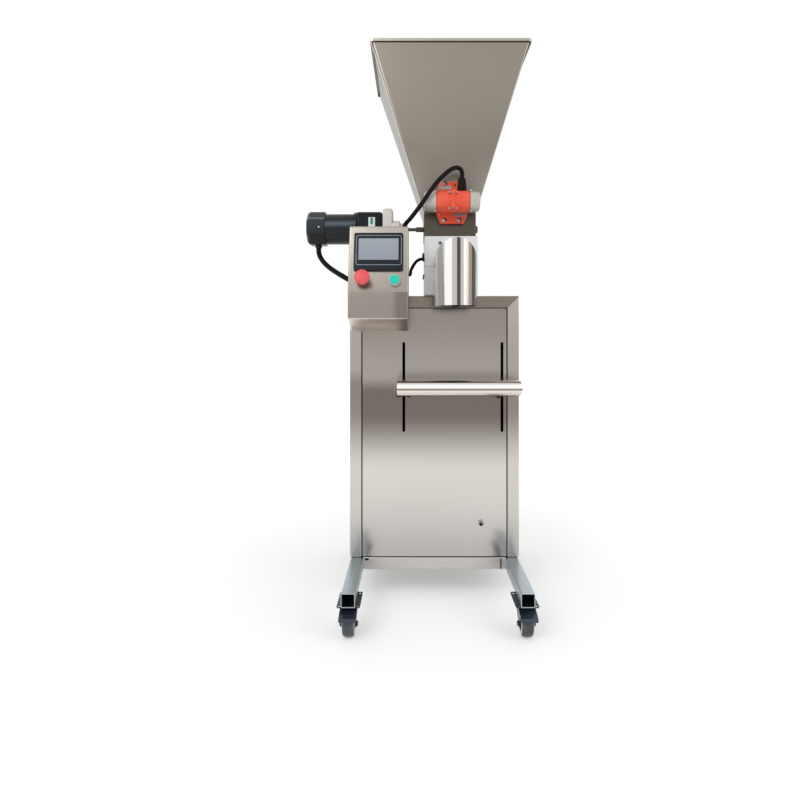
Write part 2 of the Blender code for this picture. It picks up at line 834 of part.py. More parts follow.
def build_shelf():
    """Tray with a rolled front edge, clamped through the two slots."""
    roll_z = shelf_top - roll_radius
    length = shelf_right - shelf_left
    inner = roll_radius - plate
    steps = 4
    outer_dome = [(roll_radius * math.sin(math.pi / 2 * i / steps),
                   length + roll_dome * math.cos(math.pi / 2 * i / steps)) for i in range(steps + 1)]
    inner_dome = [(inner * math.sin(math.pi / 2 * i / steps),
                   length + (roll_dome - plate) * math.cos(math.pi / 2 * i / steps))
                  for i in range(steps, -1, -1)]
    profile = (outer_dome + [(roll_radius, 0), (roll_drain, 0), (roll_drain, plate), (inner, plate)]
               + inner_dome)
    tray = turned("shelf_tray", profile, polished_steel, (shelf_left, roll_axis_y, roll_z), along_x, sides=24)
    back = -clearance
    deck = shelf_top - clearance
    fuse(tray, block("tray_deck", (shelf_left, roll_axis_y, deck - plate), (shelf_right, back, deck),
                     polished_steel))
    flange = block("tray_flange", (shelf_left, back - plate, deck - back_flange),
                   (shelf_right, back, deck - plate / 2), polished_steel)
    for x in slot_x:
        cut(flange, rod("stud_way", stud_hole, 4 * plate, polished_steel,
                        (x, back - plate / 2, stud_z), facing))
    tray_tools = [flange]
    gusset = [(back - plate / 2, deck - plate / 2), (-gusset_reach, deck - plate / 2),
              (back - plate / 2, deck - gusset_drop)]
    for x in (slot_x[0] + gusset_inset, slot_x[1] - gusset_inset):
        tray_tools.append(outline("tray_gusset", [gusset], plate, polished_steel, (x, 0, 0), lying_x))
    fuse(tray, *tray_tools)

    near = panel_back + clearance
    bar = block("clamp_bar", (clamp_bar_left, near, stud_z - clamp_bar_half),
                (clamp_bar_right, near + clamp_bar_thick, stud_z + clamp_bar_half), satin_steel)
    knob_back = back - plate - clearance
    stud_front = knob_back - knob_hub - knob_thick + knob_cover
    for x in slot_x:
        fuse(bar, rod("clamp_stud", stud_radius, near + plate - stud_front, satin_steel,
                      (x, half_of(near + plate, stud_front), stud_z), facing))
    turns = (90, 100)
    for name, x, turn in zip(("left", "right"), slot_x, turns):
        axis = empty("knob_axis_" + name, (x, knob_back, stud_z), facing, machine)
        loop = []
        for i in range(knob_lobes):
            angle = turn + 360 / knob_lobes * i
            tip = (knob_reach - knob_lobe)
            centre = (tip * math.cos(math.radians(angle)), tip * math.sin(math.radians(angle)))
            loop += arc(centre, knob_lobe, angle - 80, angle + 80, 5)
            waist = angle + 180 / knob_lobes
            loop.append((knob_core * math.cos(math.radians(waist)),
                         knob_core * math.sin(math.radians(waist))))
        knob = outline("knob_" + name, [loop], knob_thick, black_plastic,
                       (0, 0, knob_hub + knob_thick / 2), parent=axis)
        soften(knob, knob_cover / 2, 1)
        fuse(knob, rod("knob_neck", knob_hub_radius, knob_hub + plate, black_plastic,
                       (0, 0, half_of(0, knob_hub + plate)), parent=axis))
        depth = knob_hub + knob_thick - knob_cover + clearance
        cut(knob, rod("knob_bore", stud_hole, depth + overrun, black_plastic,
                      (0, 0, half_of(-overrun, depth)), parent=axis))


def level_ring(width, depth, radius, centre, height):
    """A rounded rectangle at one height."""
    return [(x, y, height) for x, y in rounded(width, depth, radius, 2, centre)]


def build_hopper():
    """Tall hopper with a hemmed rim and a straight neck."""
    neck = (neck_x, neck_y)
    rim = (rim_x, rim_y)
    fold = rim_top - sheet
    hem = (rim_width + 2 * hem_reach, rim_depth + 2 * hem_reach, rim_corner + hem_reach, rim)
    loops = [level_ring(neck_width, neck_depth, neck_corner, neck, neck_bottom),
             level_ring(neck_width, neck_depth, neck_corner, neck, neck_top),
             level_ring(rim_width, rim_depth, rim_corner, rim, fold),
             level_ring(*hem, fold), level_ring(*hem, fold - hem_drop)]
    hopper = loft("hopper", loops, satin_steel, capped=False)
    thicken(hopper, sheet)
    cut(hopper, rod("stirrer_way", stir_hole, neck_width + 2 * overrun, satin_steel,
                    (neck_x, neck_y, stir_z), along_x),
        block("rim_trim", (rim_x - rim_width, rim_y - rim_depth, rim_top - clearance),
              (rim_x + rim_width, rim_y + rim_depth, rim_top + overrun), satin_steel))


def build_housing():
    """Two-part block, barrel with spigot, feed screw and its geared motor."""
    low_x, high_x = housing_x - housing_width / 2, housing_x + housing_width / 2
    span = housing_back - housing_front
    bore = barrel_bore + barrel_wall + clearance
    for name, low, high in (("housing_lower", cabinet_top + clearance, housing_seam - clearance / 2),
                            ("housing_upper", housing_seam + clearance / 2, neck_bottom - clearance)):
        piece = block(name, (low_x, housing_front, low), (high_x, housing_back, high), housing_white,
                      edge=housing_edge)
        cut(piece, rod("barrel_way", bore, span + 2 * overrun, housing_white,
                       (dose_x, half_of(housing_front, housing_back), screw_z), facing, sides=round_sides))
        if name == "housing_upper":
            floor = screw_z + inlet_floor * 0.6
            loops = [level_ring(inlet_width, inlet_length, neck_corner, (dose_x, neck_y), screw_z),
                     level_ring(inlet_width, inlet_length, neck_corner, (dose_x, neck_y), floor),
                     level_ring(inlet_top_width, inlet_top_length, neck_corner, (neck_x, neck_y),
                                high + overrun)]
            cut(piece, loft("inlet_way", loops, housing_white))

    outer = barrel_bore + barrel_wall
    spigot = chute_radius - sheet - clearance
    front, face = -housing_front + clearance + spigot_length, -housing_front + clearance
    profile = [(spigot, front), (spigot, face), (outer, face), (outer, -housing_back),
               (barrel_bore, -housing_back), (barrel_bore, front)]
    barrel = turned("barrel", profile, polished_steel, (dose_x, 0, screw_z), facing, ring=True)
    cut(barrel, block("barrel_inlet", (dose_x - inlet_width / 2, neck_y - inlet_length / 2, screw_z),
                      (dose_x + inlet_width / 2, neck_y + inlet_length / 2, screw_z + 2 * outer),
                      polished_steel))

    start, end = -front + spigot_length / 3, housing_back - spigot_length
    axis = empty("feed_screw_axis", (dose_x, end, screw_z), facing, machine)
    turn_length = (end - start - screw_blade) / screw_turns
    shape = bmesh.new()
    corners = [(screw_radius, screw_blade), (screw_radius, 0), (screw_shaft / 2, 0),
               (screw_shaft / 2, screw_blade)]
    line = [shape.verts.new((x, 0, z)) for x, z in corners]
    for a, b in zip(line, line[1:] + line[:1]):
        shape.edges.new((a, b))
    ribbon = show("screw_ribbon", mesh_of(shape, "screw_ribbon"), polished_steel, parent=axis)
    step = ribbon.modifiers.new("wind", 'SCREW')
    step.axis = 'Z'
    step.steps = 16
    step.render_steps = 16
    step.iterations = screw_turns
    step.screw_offset = turn_length
    step.use_merge_vertices = False
    found = ribbon.evaluated_get(bpy.context.evaluated_depsgraph_get())
    mesh = bpy.data.meshes.new_from_object(found)
    bpy.data.objects.remove(ribbon)
    shape = bmesh.new()
    shape.from_mesh(mesh)
    bmesh.ops.remove_doubles(shape, verts=shape.verts, dist=0.000001)
    bmesh.ops.holes_fill(shape, edges=shape.edges, sides=4)
    bmesh.ops.recalc_face_normals(shape, faces=shape.faces)
    shape.to_mesh(mesh)
    shape.free()
    flight = show("screw_flight", mesh, polished_steel, rotation=(0, 0, math.pi / 18), parent=axis)
    tail = housing_back + 2 * spigot_length
    screw = rod("feed_screw", screw_shaft, tail - start, polished_steel,
                (0, 0, end - half_of(tail, start)), parent=axis)
    fuse(screw, flight)

    seat = housing_back + clearance
    half = gearbox_half - plate
    geared = block("screw_motor", (dose_x - half, seat, screw_z - half),
                   (dose_x + half, seat + spigot_length, screw_z + half), black_paint, edge=plate)
    box_half = half - 2 * tube_corner
    box_end = seat + spigot_length + 2 * tube
    fuse(geared, block("screw_gearbox", (dose_x - box_half, seat + plate, screw_z - box_half),
                       (dose_x + box_half, box_end, screw_z + box_half), black_paint, edge=tube_corner))
    body_length = motor_radius * 2
    cap = tube_corner
    body = [(0, body_length), (motor_radius - 2 * cap, body_length), (motor_radius, body_length - 2 * cap),
            (motor_radius, body_length * 0.7), (motor_radius - cap, body_length * 0.7),
            (motor_radius - cap, -cap), (0, -cap)]
    fuse(geared, turned("screw_motor_body", body, black_paint, (dose_x, box_end, screw_z), along_back))
    cut(geared, rod("screw_seat", screw_shaft + clearance, 2 * (tail - seat + clearance), black_paint,
                    (dose_x, seat, screw_z), facing))


def build_chute():
    """Elbow of polished tube, mitred at 45 degrees."""
    start = housing_front - clearance
    axis_y = start - chute_radius - clearance
    loops = []
    for where in ("mouth", "mitre", "outlet"):
        loop = []
        for i in range(chute_sides):
            angle = 2 * math.pi * i / chute_sides
            across, rise = chute_radius * math.cos(angle), chute_radius * math.sin(angle)
            if where == "mouth":
                loop.append((across, start, screw_z + rise))
            elif where == "mitre":
                loop.append((across, axis_y - rise, screw_z + rise))
            else:
                loop.append((across, axis_y - rise, chute_bottom))
        loops.append(loop)
    chute = loft("chute", loops, polished_steel, capped=False, location=(dose_x, 0, 0))
    thicken(chute, sheet)


def build_stirrer():
    """Stirrer shaft with crossed blades, and the drive that turns it."""
    right = neck_x + neck_width / 2 + clearance
    left = hub_end - tube / 3
    axis = empty("stirrer_axis", (neck_x, neck_y, stir_z), parent=machine)
    tip = right + stir_end_length - stir_end_plate
    shaft = rod("stirrer", stir_shaft, tip - left, polished_steel, (half_of(tip, left) - neck_x, 0, 0),
                along_x, parent=axis)
    collar_end = neck_x - neck_width / 2 - clearance
    fuse(shaft, rod("stirrer_collar", collar_radius, collar_end - collar_left, polished_steel,
                    (half_of(collar_end, collar_left) - neck_x, 0, 0), along_x, parent=axis))
    for i in range(stir_blades):
        x = (i - (stir_blades - 1) / 2) * blade_pitch
        y, z = (blade_thick / 2, blade_reach) if i % 2 else (blade_reach, blade_thick / 2)
        fuse(shaft, block("stirrer_blade", (x - blade_width / 2, -y, -z), (x + blade_width / 2, y, z),
                          polished_steel, parent=axis))

    bore = stir_shaft + clearance
    depth = stir_end_length - stir_end_plate + clearance
    end = [(0, stir_end_length), (stir_end_boss * 0.8, stir_end_length),
           (stir_end_boss, stir_end_length * 0.85), (stir_end_boss, stir_end_plate),
           (stir_end_flange, stir_end_plate), (stir_end_flange, 0), (bore, 0), (bore, depth), (0, depth)]
    turned("stirrer_bearing", end, satin_steel, (right, neck_y, stir_z), along_x, sides=small_sides)

    face = rounded(adapter_depth, 2 * adapter_half, adapter_round, 3)
    adapter = outline("drive_adapter", [face], adapter_right - adapter_left, cast_pale,
                      (half_of(adapter_left, adapter_right), drive_y, drive_z), lying_x)
    soften(adapter, tube_corner * 1.5, 2)
    reach, step = hub_end - adapter_right, hub_step - adapter_right
    hub = [(0, reach), (hub_small - plate, reach), (hub_small, reach - plate), (hub_small, step),
           (hub_big - plate, step), (hub_big, step - plate), (hub_big, -plate), (0, -plate)]
    fuse(adapter, turned("adapter_hub", hub, cast_pale, (adapter_right, neck_y, stir_z), along_x))
    cut(adapter, rod("adapter_bore", stir_shaft + clearance, 2 * (hub_end - left + clearance), cast_pale,
                     (hub_end, neck_y, stir_z), along_x))

    gearbox = block("drive_gearbox", (gearbox_left, drive_y - gearbox_half, drive_z - gearbox_half),
                    (adapter_left - clearance, drive_y + gearbox_half, drive_z + gearbox_half), black_paint,
                    edge=gearbox_round)
    body_end = gearbox_left - clearance
    reach = body_end - motor_left
    lip = body_end - flange_left
    body = [(0, reach), (flange_radius, reach), (flange_radius, reach - lip),
            (motor_radius, reach - lip - plate), (motor_radius, 0), (0, 0)]
    turned("drive_motor", body, black_paint, (motor_left, drive_y, drive_z), along_x)

    length = motor_left - clearance - cover_left
    steps = 4
    nose = [(cover_radius - cover_nose + cover_nose * math.sin(math.pi / 2 * i / steps),
             cover_nose * math.cos(math.pi / 2 * i / steps)) for i in range(steps + 1)]
    profile = [(0, cover_nose)] + nose + [(cover_radius, cover_nose - length), (0, cover_nose - length)]
    across_corners = 1 / math.cos(math.pi / cover_flats)
    profile = [(radius * across_corners, height) for radius, height in profile]
    shaft_end = empty("fan_axis", (cover_left + cover_nose, drive_y, drive_z),
                      (math.pi / cover_flats, 0, 0), machine)
    cover = turned("fan_cover", profile, black_paint, rotation=(0, -math.pi / 2, 0), parent=shaft_end,
                   sides=cover_flats)
    fuse(cover, rod("cover_boss", cover_boss, cover_radius + cover_boss_drop, black_paint,
                    (cover_boss_x, drive_y, drive_z - (cover_radius + cover_boss_drop) / 2)))

    middle = half_of(adapter_left, adapter_right)
    foot_x, foot_y, foot_z = pedestal_foot
    seat = cabinet_top + clearance
    head = drive_z - adapter_half - clearance
    foot = block("drive_pedestal", (middle - foot_x / 2, drive_y - foot_y / 2, seat),
                 (middle + foot_x / 2, drive_y + foot_y / 2, seat + foot_z), satin_steel, edge=plate / 2)
    web = [(drive_y - foot_y / 2 + plate, seat + foot_z / 2),
           (drive_y + foot_y / 2 - plate, seat + foot_z / 2),
           (drive_y + pedestal_head, head - foot_z / 2), (drive_y - pedestal_head, head - foot_z / 2)]
    fuse(foot, outline("pedestal_rib", [web], pedestal_web, satin_steel, (middle, 0, 0), lying_x),
         block("pedestal_top", (middle - foot_x / 2, drive_y - pedestal_head, head - foot_z),
               (middle + foot_x / 2, drive_y + pedestal_head, head), satin_steel, edge=plate / 2))


def build_vibrator():
    """Cast vibrator on a pad welded to the hopper."""
    seat = clearance
    pad = [(vib_plate_back + seat, vib_pad_low), (hopper_front(vib_pad_low) - seat, vib_pad_low),
           (hopper_front(neck_top) - seat, neck_top), (hopper_front(vib_pad_high) - seat, vib_pad_high),
           (vib_plate_back + seat, vib_pad_high)]
    outline("vibrator_pad", [pad], 2 * vib_pad_half, satin_steel, (vib_x, 0, 0), lying_x)

    foot = [(-vib_foot_half, vib_plate_bottom), (vib_foot_half, vib_plate_bottom),
            (vib_plate_half, vib_z - vib_shoulder), (vib_plate_half, vib_z + vib_shoulder),
            (vib_foot_half, vib_plate_top), (-vib_foot_half, vib_plate_top),
            (-vib_plate_half, vib_z + vib_shoulder), (-vib_plate_half, vib_z - vib_shoulder)]
    body = outline("vibrator_body", [foot], vib_plate_back - vib_plate_front, orange_paint,
                   (vib_x, half_of(vib_plate_front, vib_plate_back), 0), facing)
    soften(body, plate, 2)
    left = vib_x - vib_width / 2
    barrel = [(0, vib_width), (vib_radius - plate, vib_width), (vib_radius, vib_width - plate),
              (vib_radius, plate), (vib_radius - plate, 0), (0, 0)]
    fuse(body, turned("vibrator_barrel", barrel, orange_paint, (left, vib_axis_y, vib_z), along_x))
    saddle = vib_radius * 0.8
    fuse(body, block("vibrator_saddle", (left + 2 * plate, vib_axis_y, vib_z - saddle),
                     (left + vib_width - 2 * plate, vib_plate_front + plate, vib_z + saddle), orange_paint,
                     edge=plate))
    for sign in (-1, 1):
        fuse(body, rod("vibrator_lug", vib_lug_radius, vib_lug_length, orange_paint,
                       (vib_x, vib_axis_y - vib_lug_reach + vib_lug_radius, vib_z + sign * vib_lug_rise),
                       along_x))
    for name, length, x, turn in (("right", vib_cap, left + vib_width + clearance, 1),
                                  ("left", vib_cap_left, left - clearance, -1)):
        profile = [(0, length), (vib_cap_radius - 2 * vib_cap_round, length),
                   (vib_cap_radius - vib_cap_round, length - vib_cap_round / 2),
                   (vib_cap_radius - vib_cap_round / 2, length - 2 * vib_cap_round),
                   (vib_cap_radius, 0), (0, 0)]
        turned("vibrator_cap_" + name, profile, grey_cast, (x, vib_axis_y, vib_z), (0, turn * math.pi / 2, 0))

    base = vib_z + vib_radius + clearance
    profile = [(0, relief_top - base), (relief_tip * 0.8, relief_top - base),
               (relief_tip, (relief_top - base) * 0.92), (relief_radius, (relief_top - base) * 0.2),
               (relief_radius, 0), (0, 0)]
    turned("vibrator_relief", profile, black_rubber, (relief_x, vib_axis_y, base))


def caster(name, x, y, turn, braked):
    """A swivel caster: plate with kingpin, fork, wheel, and a brake pedal."""
    place = empty(name + "_axis", (x, y, 0), (0, 0, turn), machine)
    top = caster_height - clearance
    under = top - plate_thick
    loops = [rounded(plate_width, plate_length, plate_corner)]
    for sx in (-1, 1):
        for sy in (-1, 1):
            loops.append(slot((sx * plate_slot_across / 2, sy * plate_slot_along / 2), plate_slot_width,
                              plate_slot_length, steps=2))
    top_plate = outline(name + "_plate", loops, plate_thick, caster_black, (0, 0, top - plate_thick / 2),
                        parent=place)
    race_low = fork_top + clearance
    fork_under = fork_top - fork_sheet
    king_low = fork_under - clearance
    profile = [(0, under + plate_thick / 2), (race_radius, under + plate_thick / 2), (race_radius, race_low),
               (king_radius, race_low), (king_radius, king_low), (king_head, king_low),
               (king_head, king_low - king_head_thick), (0, king_low - king_head_thick)]
    fuse(top_plate, turned(name + "_race", profile, caster_black, parent=place, sides=12))

    half = fork_gap + fork_sheet
    arch = [(-half, 0), (-fork_gap, 0), (-fork_gap, fork_under), (fork_gap, fork_under),
            (fork_gap, 0), (half, 0), (half, fork_top), (-half, fork_top)]
    fork = outline(name + "_fork", [arch], 4 * trail, caster_black, (0, -trail, 0), facing, parent=place)
    side = ([(fork_crown, fork_top + overrun), (cheek_back, fork_top + overrun), (cheek_back, cheek_knee),
             (-trail - fork_lug, wheel_radius)]
            + arc((-trail, wheel_radius), fork_lug, 180, 360, 4)[1:]
            + [(fork_crown, fork_under)])
    trim(fork, outline(name + "_side", [side], 4 * half, caster_black, rotation=lying_x, parent=place))
    cut(fork, block(name + "_crown_way", (-fork_gap, cheek_back - overrun, fork_under - overrun),
                    (fork_gap, crown_back, fork_top + overrun), caster_black, parent=place),
        rod(name + "_king_way", king_radius + clearance, 4 * fork_sheet, caster_black, (0, 0, fork_top),
            parent=place))
    fuse(fork, rod(name + "_axle", axle_radius, 2 * half + plate, caster_black, (0, -trail, wheel_radius),
                   along_x, parent=place, sides=8))
    for sign in (-1, 1):
        fuse(fork, rod(name + "_nut", axle_nut, axle_nut_reach, caster_black,
                       (sign * (half + axle_nut_reach / 2 - clearance), -trail, wheel_radius), along_x,
                       parent=place, sides=6))

    spin = empty(name + "_wheel_axis", (0, -trail, wheel_radius), along_x, place)
    rim = wheel_width / 2
    bead = wheel_radius - wheel_crown
    end = fork_gap - clearance
    profile = [(wheel_bore, end), (hub_face, end), (hub_face, rim), (bead, rim)]
    for i in (1, 2):
        angle = math.pi * i / 3
        profile.append((bead + wheel_crown * math.sin(angle) / math.sin(math.pi / 3),
                        rim * math.cos(angle)))
    profile += [(bead, -rim), (hub_face, -rim), (hub_face, -end), (wheel_bore, -end)]
    turned(name + "_wheel", profile, black_rubber, parent=spin, ring=True, sides=caster_sides)

    if braked:
        hinge = empty(name + "_pedal_axis", (0, pedal_pin_y, pedal_pin_z), parent=place)
        knuckle = 2 * fork_gap - 4 * clearance
        pedal = rod(name + "_pedal", pedal_pin_radius, knuckle, caster_black, rotation=along_x, parent=hinge,
                    location=(0, 0, 0), sides=8)
        heel_y, heel_z = pedal_heel
        tip_y, tip_z = pedal_tip
        neck = [(-pedal_pin_radius / 2, 0), (pedal_pin_radius / 2, 0), (heel_y, heel_z - pedal_thick / 2),
                (heel_y - 2 * pedal_pin_radius, heel_z - pedal_thick / 2)]
        tread = [(heel_y, heel_z), (tip_y, tip_z), (tip_y - pedal_thick / 2, tip_z - pedal_thick - pedal_lip),
                 (tip_y + pedal_thick / 2, tip_z - pedal_thick), (heel_y, heel_z - pedal_thick)]
        fuse(pedal, outline(name + "_neck", [neck], knuckle, caster_black, rotation=lying_x, parent=hinge),
             outline(name + "_tread", [tread], 2 * pedal_half, caster_black, rotation=lying_x, parent=hinge))


def build_casters():
    """Two braked casters in front, two plain ones behind."""
    for name, x, y, turn, braked in (("front_left", -leg_x, caster_y, 0, True),
                                     ("front_right", leg_x, caster_y, 0, True),
                                     ("rear_left", -leg_x, rear_caster_y, math.pi, False),
                                     ("rear_right", leg_x, rear_caster_y, math.pi, False)):
        caster(name, x, y, turn, braked)


def build_cables(shell):
    """Vibrator, motor and sensor cables, each held at both ends."""
    relief_end = relief_top + clearance
    vib_route = [(relief_x, vib_axis_y, relief_end), (0.0735, -0.0950, 1.2170), (0.0700, -0.0970, 1.2275),
                 (0.0610, -0.1010, 1.2325), (0.0500, -0.1060, 1.2300), (0.0380, -0.1110, 1.2225),
                 (0.0240, -0.1180, 1.2095), (0.0080, -0.1260, 1.1925), (-0.0080, -0.1325, 1.1715),
                 (-0.0240, -0.1360, 1.1480), (-0.0400, -0.1350, 1.1245), (-0.0560, -0.1280, 1.1045),
                 (-0.0710, -0.1160, 1.0880), (-0.0820, -0.1060, 1.0780), (-0.0870, -0.1020, 1.0680),
                 (-0.0870, -0.1020, 1.0480)]
    cable("vibrator_cable", vib_route, vib_cable_radius)
    drop = drive_z - cover_radius - cover_boss_drop - clearance
    motor_route = [(cover_boss_x, drive_y, drop), (cover_boss_x, drive_y, drop - 0.006),
                   (-0.3470, 0.0520, 1.0180), (-0.3415, 0.0450, 1.0045), (-0.3295, 0.0330, 0.9880),
                   (-0.3115, 0.0170, 0.9710), (-0.2900, -0.0010, 0.9555), (-0.2690, -0.0190, 0.9420),
                   (-0.2500, -0.0330, 0.9310), (box_left - 0.004, -0.0400, 0.9255),
                   (box_left + 0.012, -0.0400, 0.9255)]
    cable("motor_cable", motor_route, motor_cable_radius)
    side = housing_x - housing_width / 2
    sensor_route = [(box_right - 0.012, -0.0400, 0.9420), (box_right + 0.003, -0.0400, 0.9420),
                    (-0.0690, -0.0340, 0.9560), (-0.0620, -0.0230, 0.9710), (-0.0540, -0.0100, 0.9840),
                    (-0.0440, 0.0020, 0.9920), (side - 0.005, 0.0060, 0.9940),
                    (side - clearance, 0.0060, 0.9940)]
    cable("sensor_cable", sensor_route, sensor_cable_radius)
    for end, radius, way in ((vib_route[-1], vib_cable_radius, (0, 0, 0)),
                             (motor_route[-1], motor_cable_radius, along_x),
                             (sensor_route[0], sensor_cable_radius, along_x)):
        cut(shell, rod("cable_way", radius + cable_hole_gap, 8 * overrun, satin_steel, end, way))


def main():
    """Build every sub-part, then set the machine on the origin."""
    build_base()
    build_cabinet()
    build_inlets()
    shell = build_control_box()
    build_shelf()
    build_hopper()
    build_housing()
    build_chute()
    build_stirrer()
    build_vibrator()
    build_casters()
    build_cables(shell)
    left = cover_left
    right = rim_x + rim_width / 2 + hem_reach + sheet
    front = caster_y + pedal_pin_y + pedal_tip[0] - pedal_thick / 2
    back = cabinet_depth + clearance + sheet + gland_reach
    machine.location = (-half_of(left, right), -half_of(front, back), 0)
    print("machine stands at", tuple(round(v, 6) for v in machine.location))


main()
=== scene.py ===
# %% [markdown]
# # A powder dosing machine in stainless steel
#
# The machine is a cabinet on casters. On its deck stand a hopper, a dosing housing with a horizontal
# screw, a stirrer drive and a vibrator; a control box and a bag shelf hang on its front. The packed
# model already holds every working piece at its real size. This lesson dresses it: cables, fasteners,
# small trims, and above all the finishes.

# %% Load the frame
import math

import bmesh
import bpy
import json
from mathutils import Matrix, Vector


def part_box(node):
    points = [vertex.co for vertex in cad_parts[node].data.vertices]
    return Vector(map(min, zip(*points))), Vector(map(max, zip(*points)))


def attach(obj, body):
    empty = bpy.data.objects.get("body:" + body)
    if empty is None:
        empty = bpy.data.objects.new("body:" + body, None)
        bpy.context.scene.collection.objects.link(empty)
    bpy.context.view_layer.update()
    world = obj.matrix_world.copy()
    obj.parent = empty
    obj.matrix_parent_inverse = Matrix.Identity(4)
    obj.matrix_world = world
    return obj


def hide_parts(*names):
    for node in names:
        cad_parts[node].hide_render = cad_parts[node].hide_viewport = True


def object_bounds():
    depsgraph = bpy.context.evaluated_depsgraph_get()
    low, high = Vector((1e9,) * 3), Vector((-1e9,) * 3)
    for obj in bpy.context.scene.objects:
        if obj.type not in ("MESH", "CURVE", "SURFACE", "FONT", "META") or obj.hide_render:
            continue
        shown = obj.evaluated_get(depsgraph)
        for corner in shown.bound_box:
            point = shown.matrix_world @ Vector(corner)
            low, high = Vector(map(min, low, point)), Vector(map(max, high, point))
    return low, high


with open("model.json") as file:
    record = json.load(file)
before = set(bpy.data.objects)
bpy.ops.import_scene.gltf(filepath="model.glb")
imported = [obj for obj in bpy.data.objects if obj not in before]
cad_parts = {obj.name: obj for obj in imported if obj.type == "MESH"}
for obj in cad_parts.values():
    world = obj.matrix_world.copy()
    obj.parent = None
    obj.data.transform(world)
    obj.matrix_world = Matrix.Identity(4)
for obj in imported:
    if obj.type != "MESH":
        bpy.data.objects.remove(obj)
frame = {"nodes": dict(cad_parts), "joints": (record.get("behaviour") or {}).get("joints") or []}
cad_low, cad_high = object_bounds()
print("model stands", round(cad_high[2] - cad_low[2], 3), "m high with", len(frame["nodes"]), "nodes")

# %% [markdown]
# ## A place on the machine
#
# A fitter measures from the cabinet: across from its middle, back from its front face, and up from the
# floor. One helper turns such a measure into a point of the frame, so that each later piece can be
# placed the way a fitter would read it off the machine.

# %% Measure from the cabinet
frame_low, frame_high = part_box("front_frame")
cabinet_middle = (frame_low.x + frame_high.x) / 2
cabinet_front = frame_low.y


def spot(across, back, up):
    """A point measured from the cabinet's middle, its front face and the floor."""
    return Vector((cabinet_middle + across, cabinet_front + back, up))


print("cabinet is", round(frame_high.x - frame_low.x, 3), "m wide")

# %% [markdown]
# ## The photographer's camera
#
# The photograph was taken level, from the height of the control box and a little left of the middle.
# The picture was then cropped, so the lens's centre isn't the picture's centre. A shift of the lens
# gives the same crop without tilting the camera, which keeps all uprights upright.

# %% Set the camera
picture_width = 800
focal_pixels = 596
centre_across = 413
centre_down = 337

camera_data = bpy.data.cameras.new("camera")
camera_data.sensor_width = 36
camera_data.lens = focal_pixels / picture_width * camera_data.sensor_width
camera_data.shift_x = (picture_width / 2 - centre_across) / picture_width
camera_data.shift_y = (centre_down - picture_width / 2) / picture_width
camera = bpy.data.objects.new("camera", camera_data)
bpy.context.scene.collection.objects.link(camera)
camera.location = spot(-0.063, -1.748, 0.7646)
camera.rotation_euler = (math.pi / 2, 0, 0)
bpy.context.scene.camera = camera
print("lens", round(camera_data.lens, 2), "mm")

# %% [markdown]
# ## Writing shaders as sums
#
# A finish is a sum of small effects: a base colour, a streak, painted reflections and painted shade that
# follow the height. Written node by node that is hard to read. The class below wraps one socket, and
# gives it plus, minus, times and the rest, so that a mask can be written as an expression. Numbers alone
# are still worked out in Python and cost no node.

# %% A socket that does sums
class Value:
    """A shader socket with arithmetic; each operator adds one Math node."""

    def __init__(self, finish, socket):
        self.finish = finish
        self.socket = socket

    def sum_node(self, operation, first, second=None):
        """One Math node on two values."""
        values = {0: first} if second is None else {0: first, 1: second}
        return self.finish.add("ShaderNodeMath", {"operation": operation}, values)

    def __add__(self, other):
        return self.sum_node("ADD", self, other)

    def __radd__(self, other):
        return self.sum_node("ADD", other, self)

    def __sub__(self, other):
        return self.sum_node("SUBTRACT", self, other)

    def __rsub__(self, other):
        return self.sum_node("SUBTRACT", other, self)

    def __mul__(self, other):
        return self.sum_node("MULTIPLY", self, other)

    def __rmul__(self, other):
        return self.sum_node("MULTIPLY", other, self)

    def __truediv__(self, other):
        return self.sum_node("DIVIDE", self, other)

    def __pow__(self, other):
        return self.sum_node("POWER", self, other)

    def size(self):
        """The value without its sign."""
        return self.sum_node("ABSOLUTE", self)

    def below(self, limit):
        """1 where the value is under the limit."""
        return self.sum_node("LESS_THAN", self, limit)

    def above(self, limit):
        """1 where the value is over the limit."""
        return self.sum_node("GREATER_THAN", self, limit)

    def fade(self, start, end):
        """0 at start, 1 at end, and smooth between them."""
        return self.finish.add("ShaderNodeMapRange", {"interpolation_type": "SMOOTHSTEP"},
                               {"Value": self, "From Min": start, "From Max": end})

    def stripe(self, middle, half, soft=0.03):
        """1 in a stripe about a middle, with soft edges."""
        return (self - middle).size().fade(half + soft, half - soft)
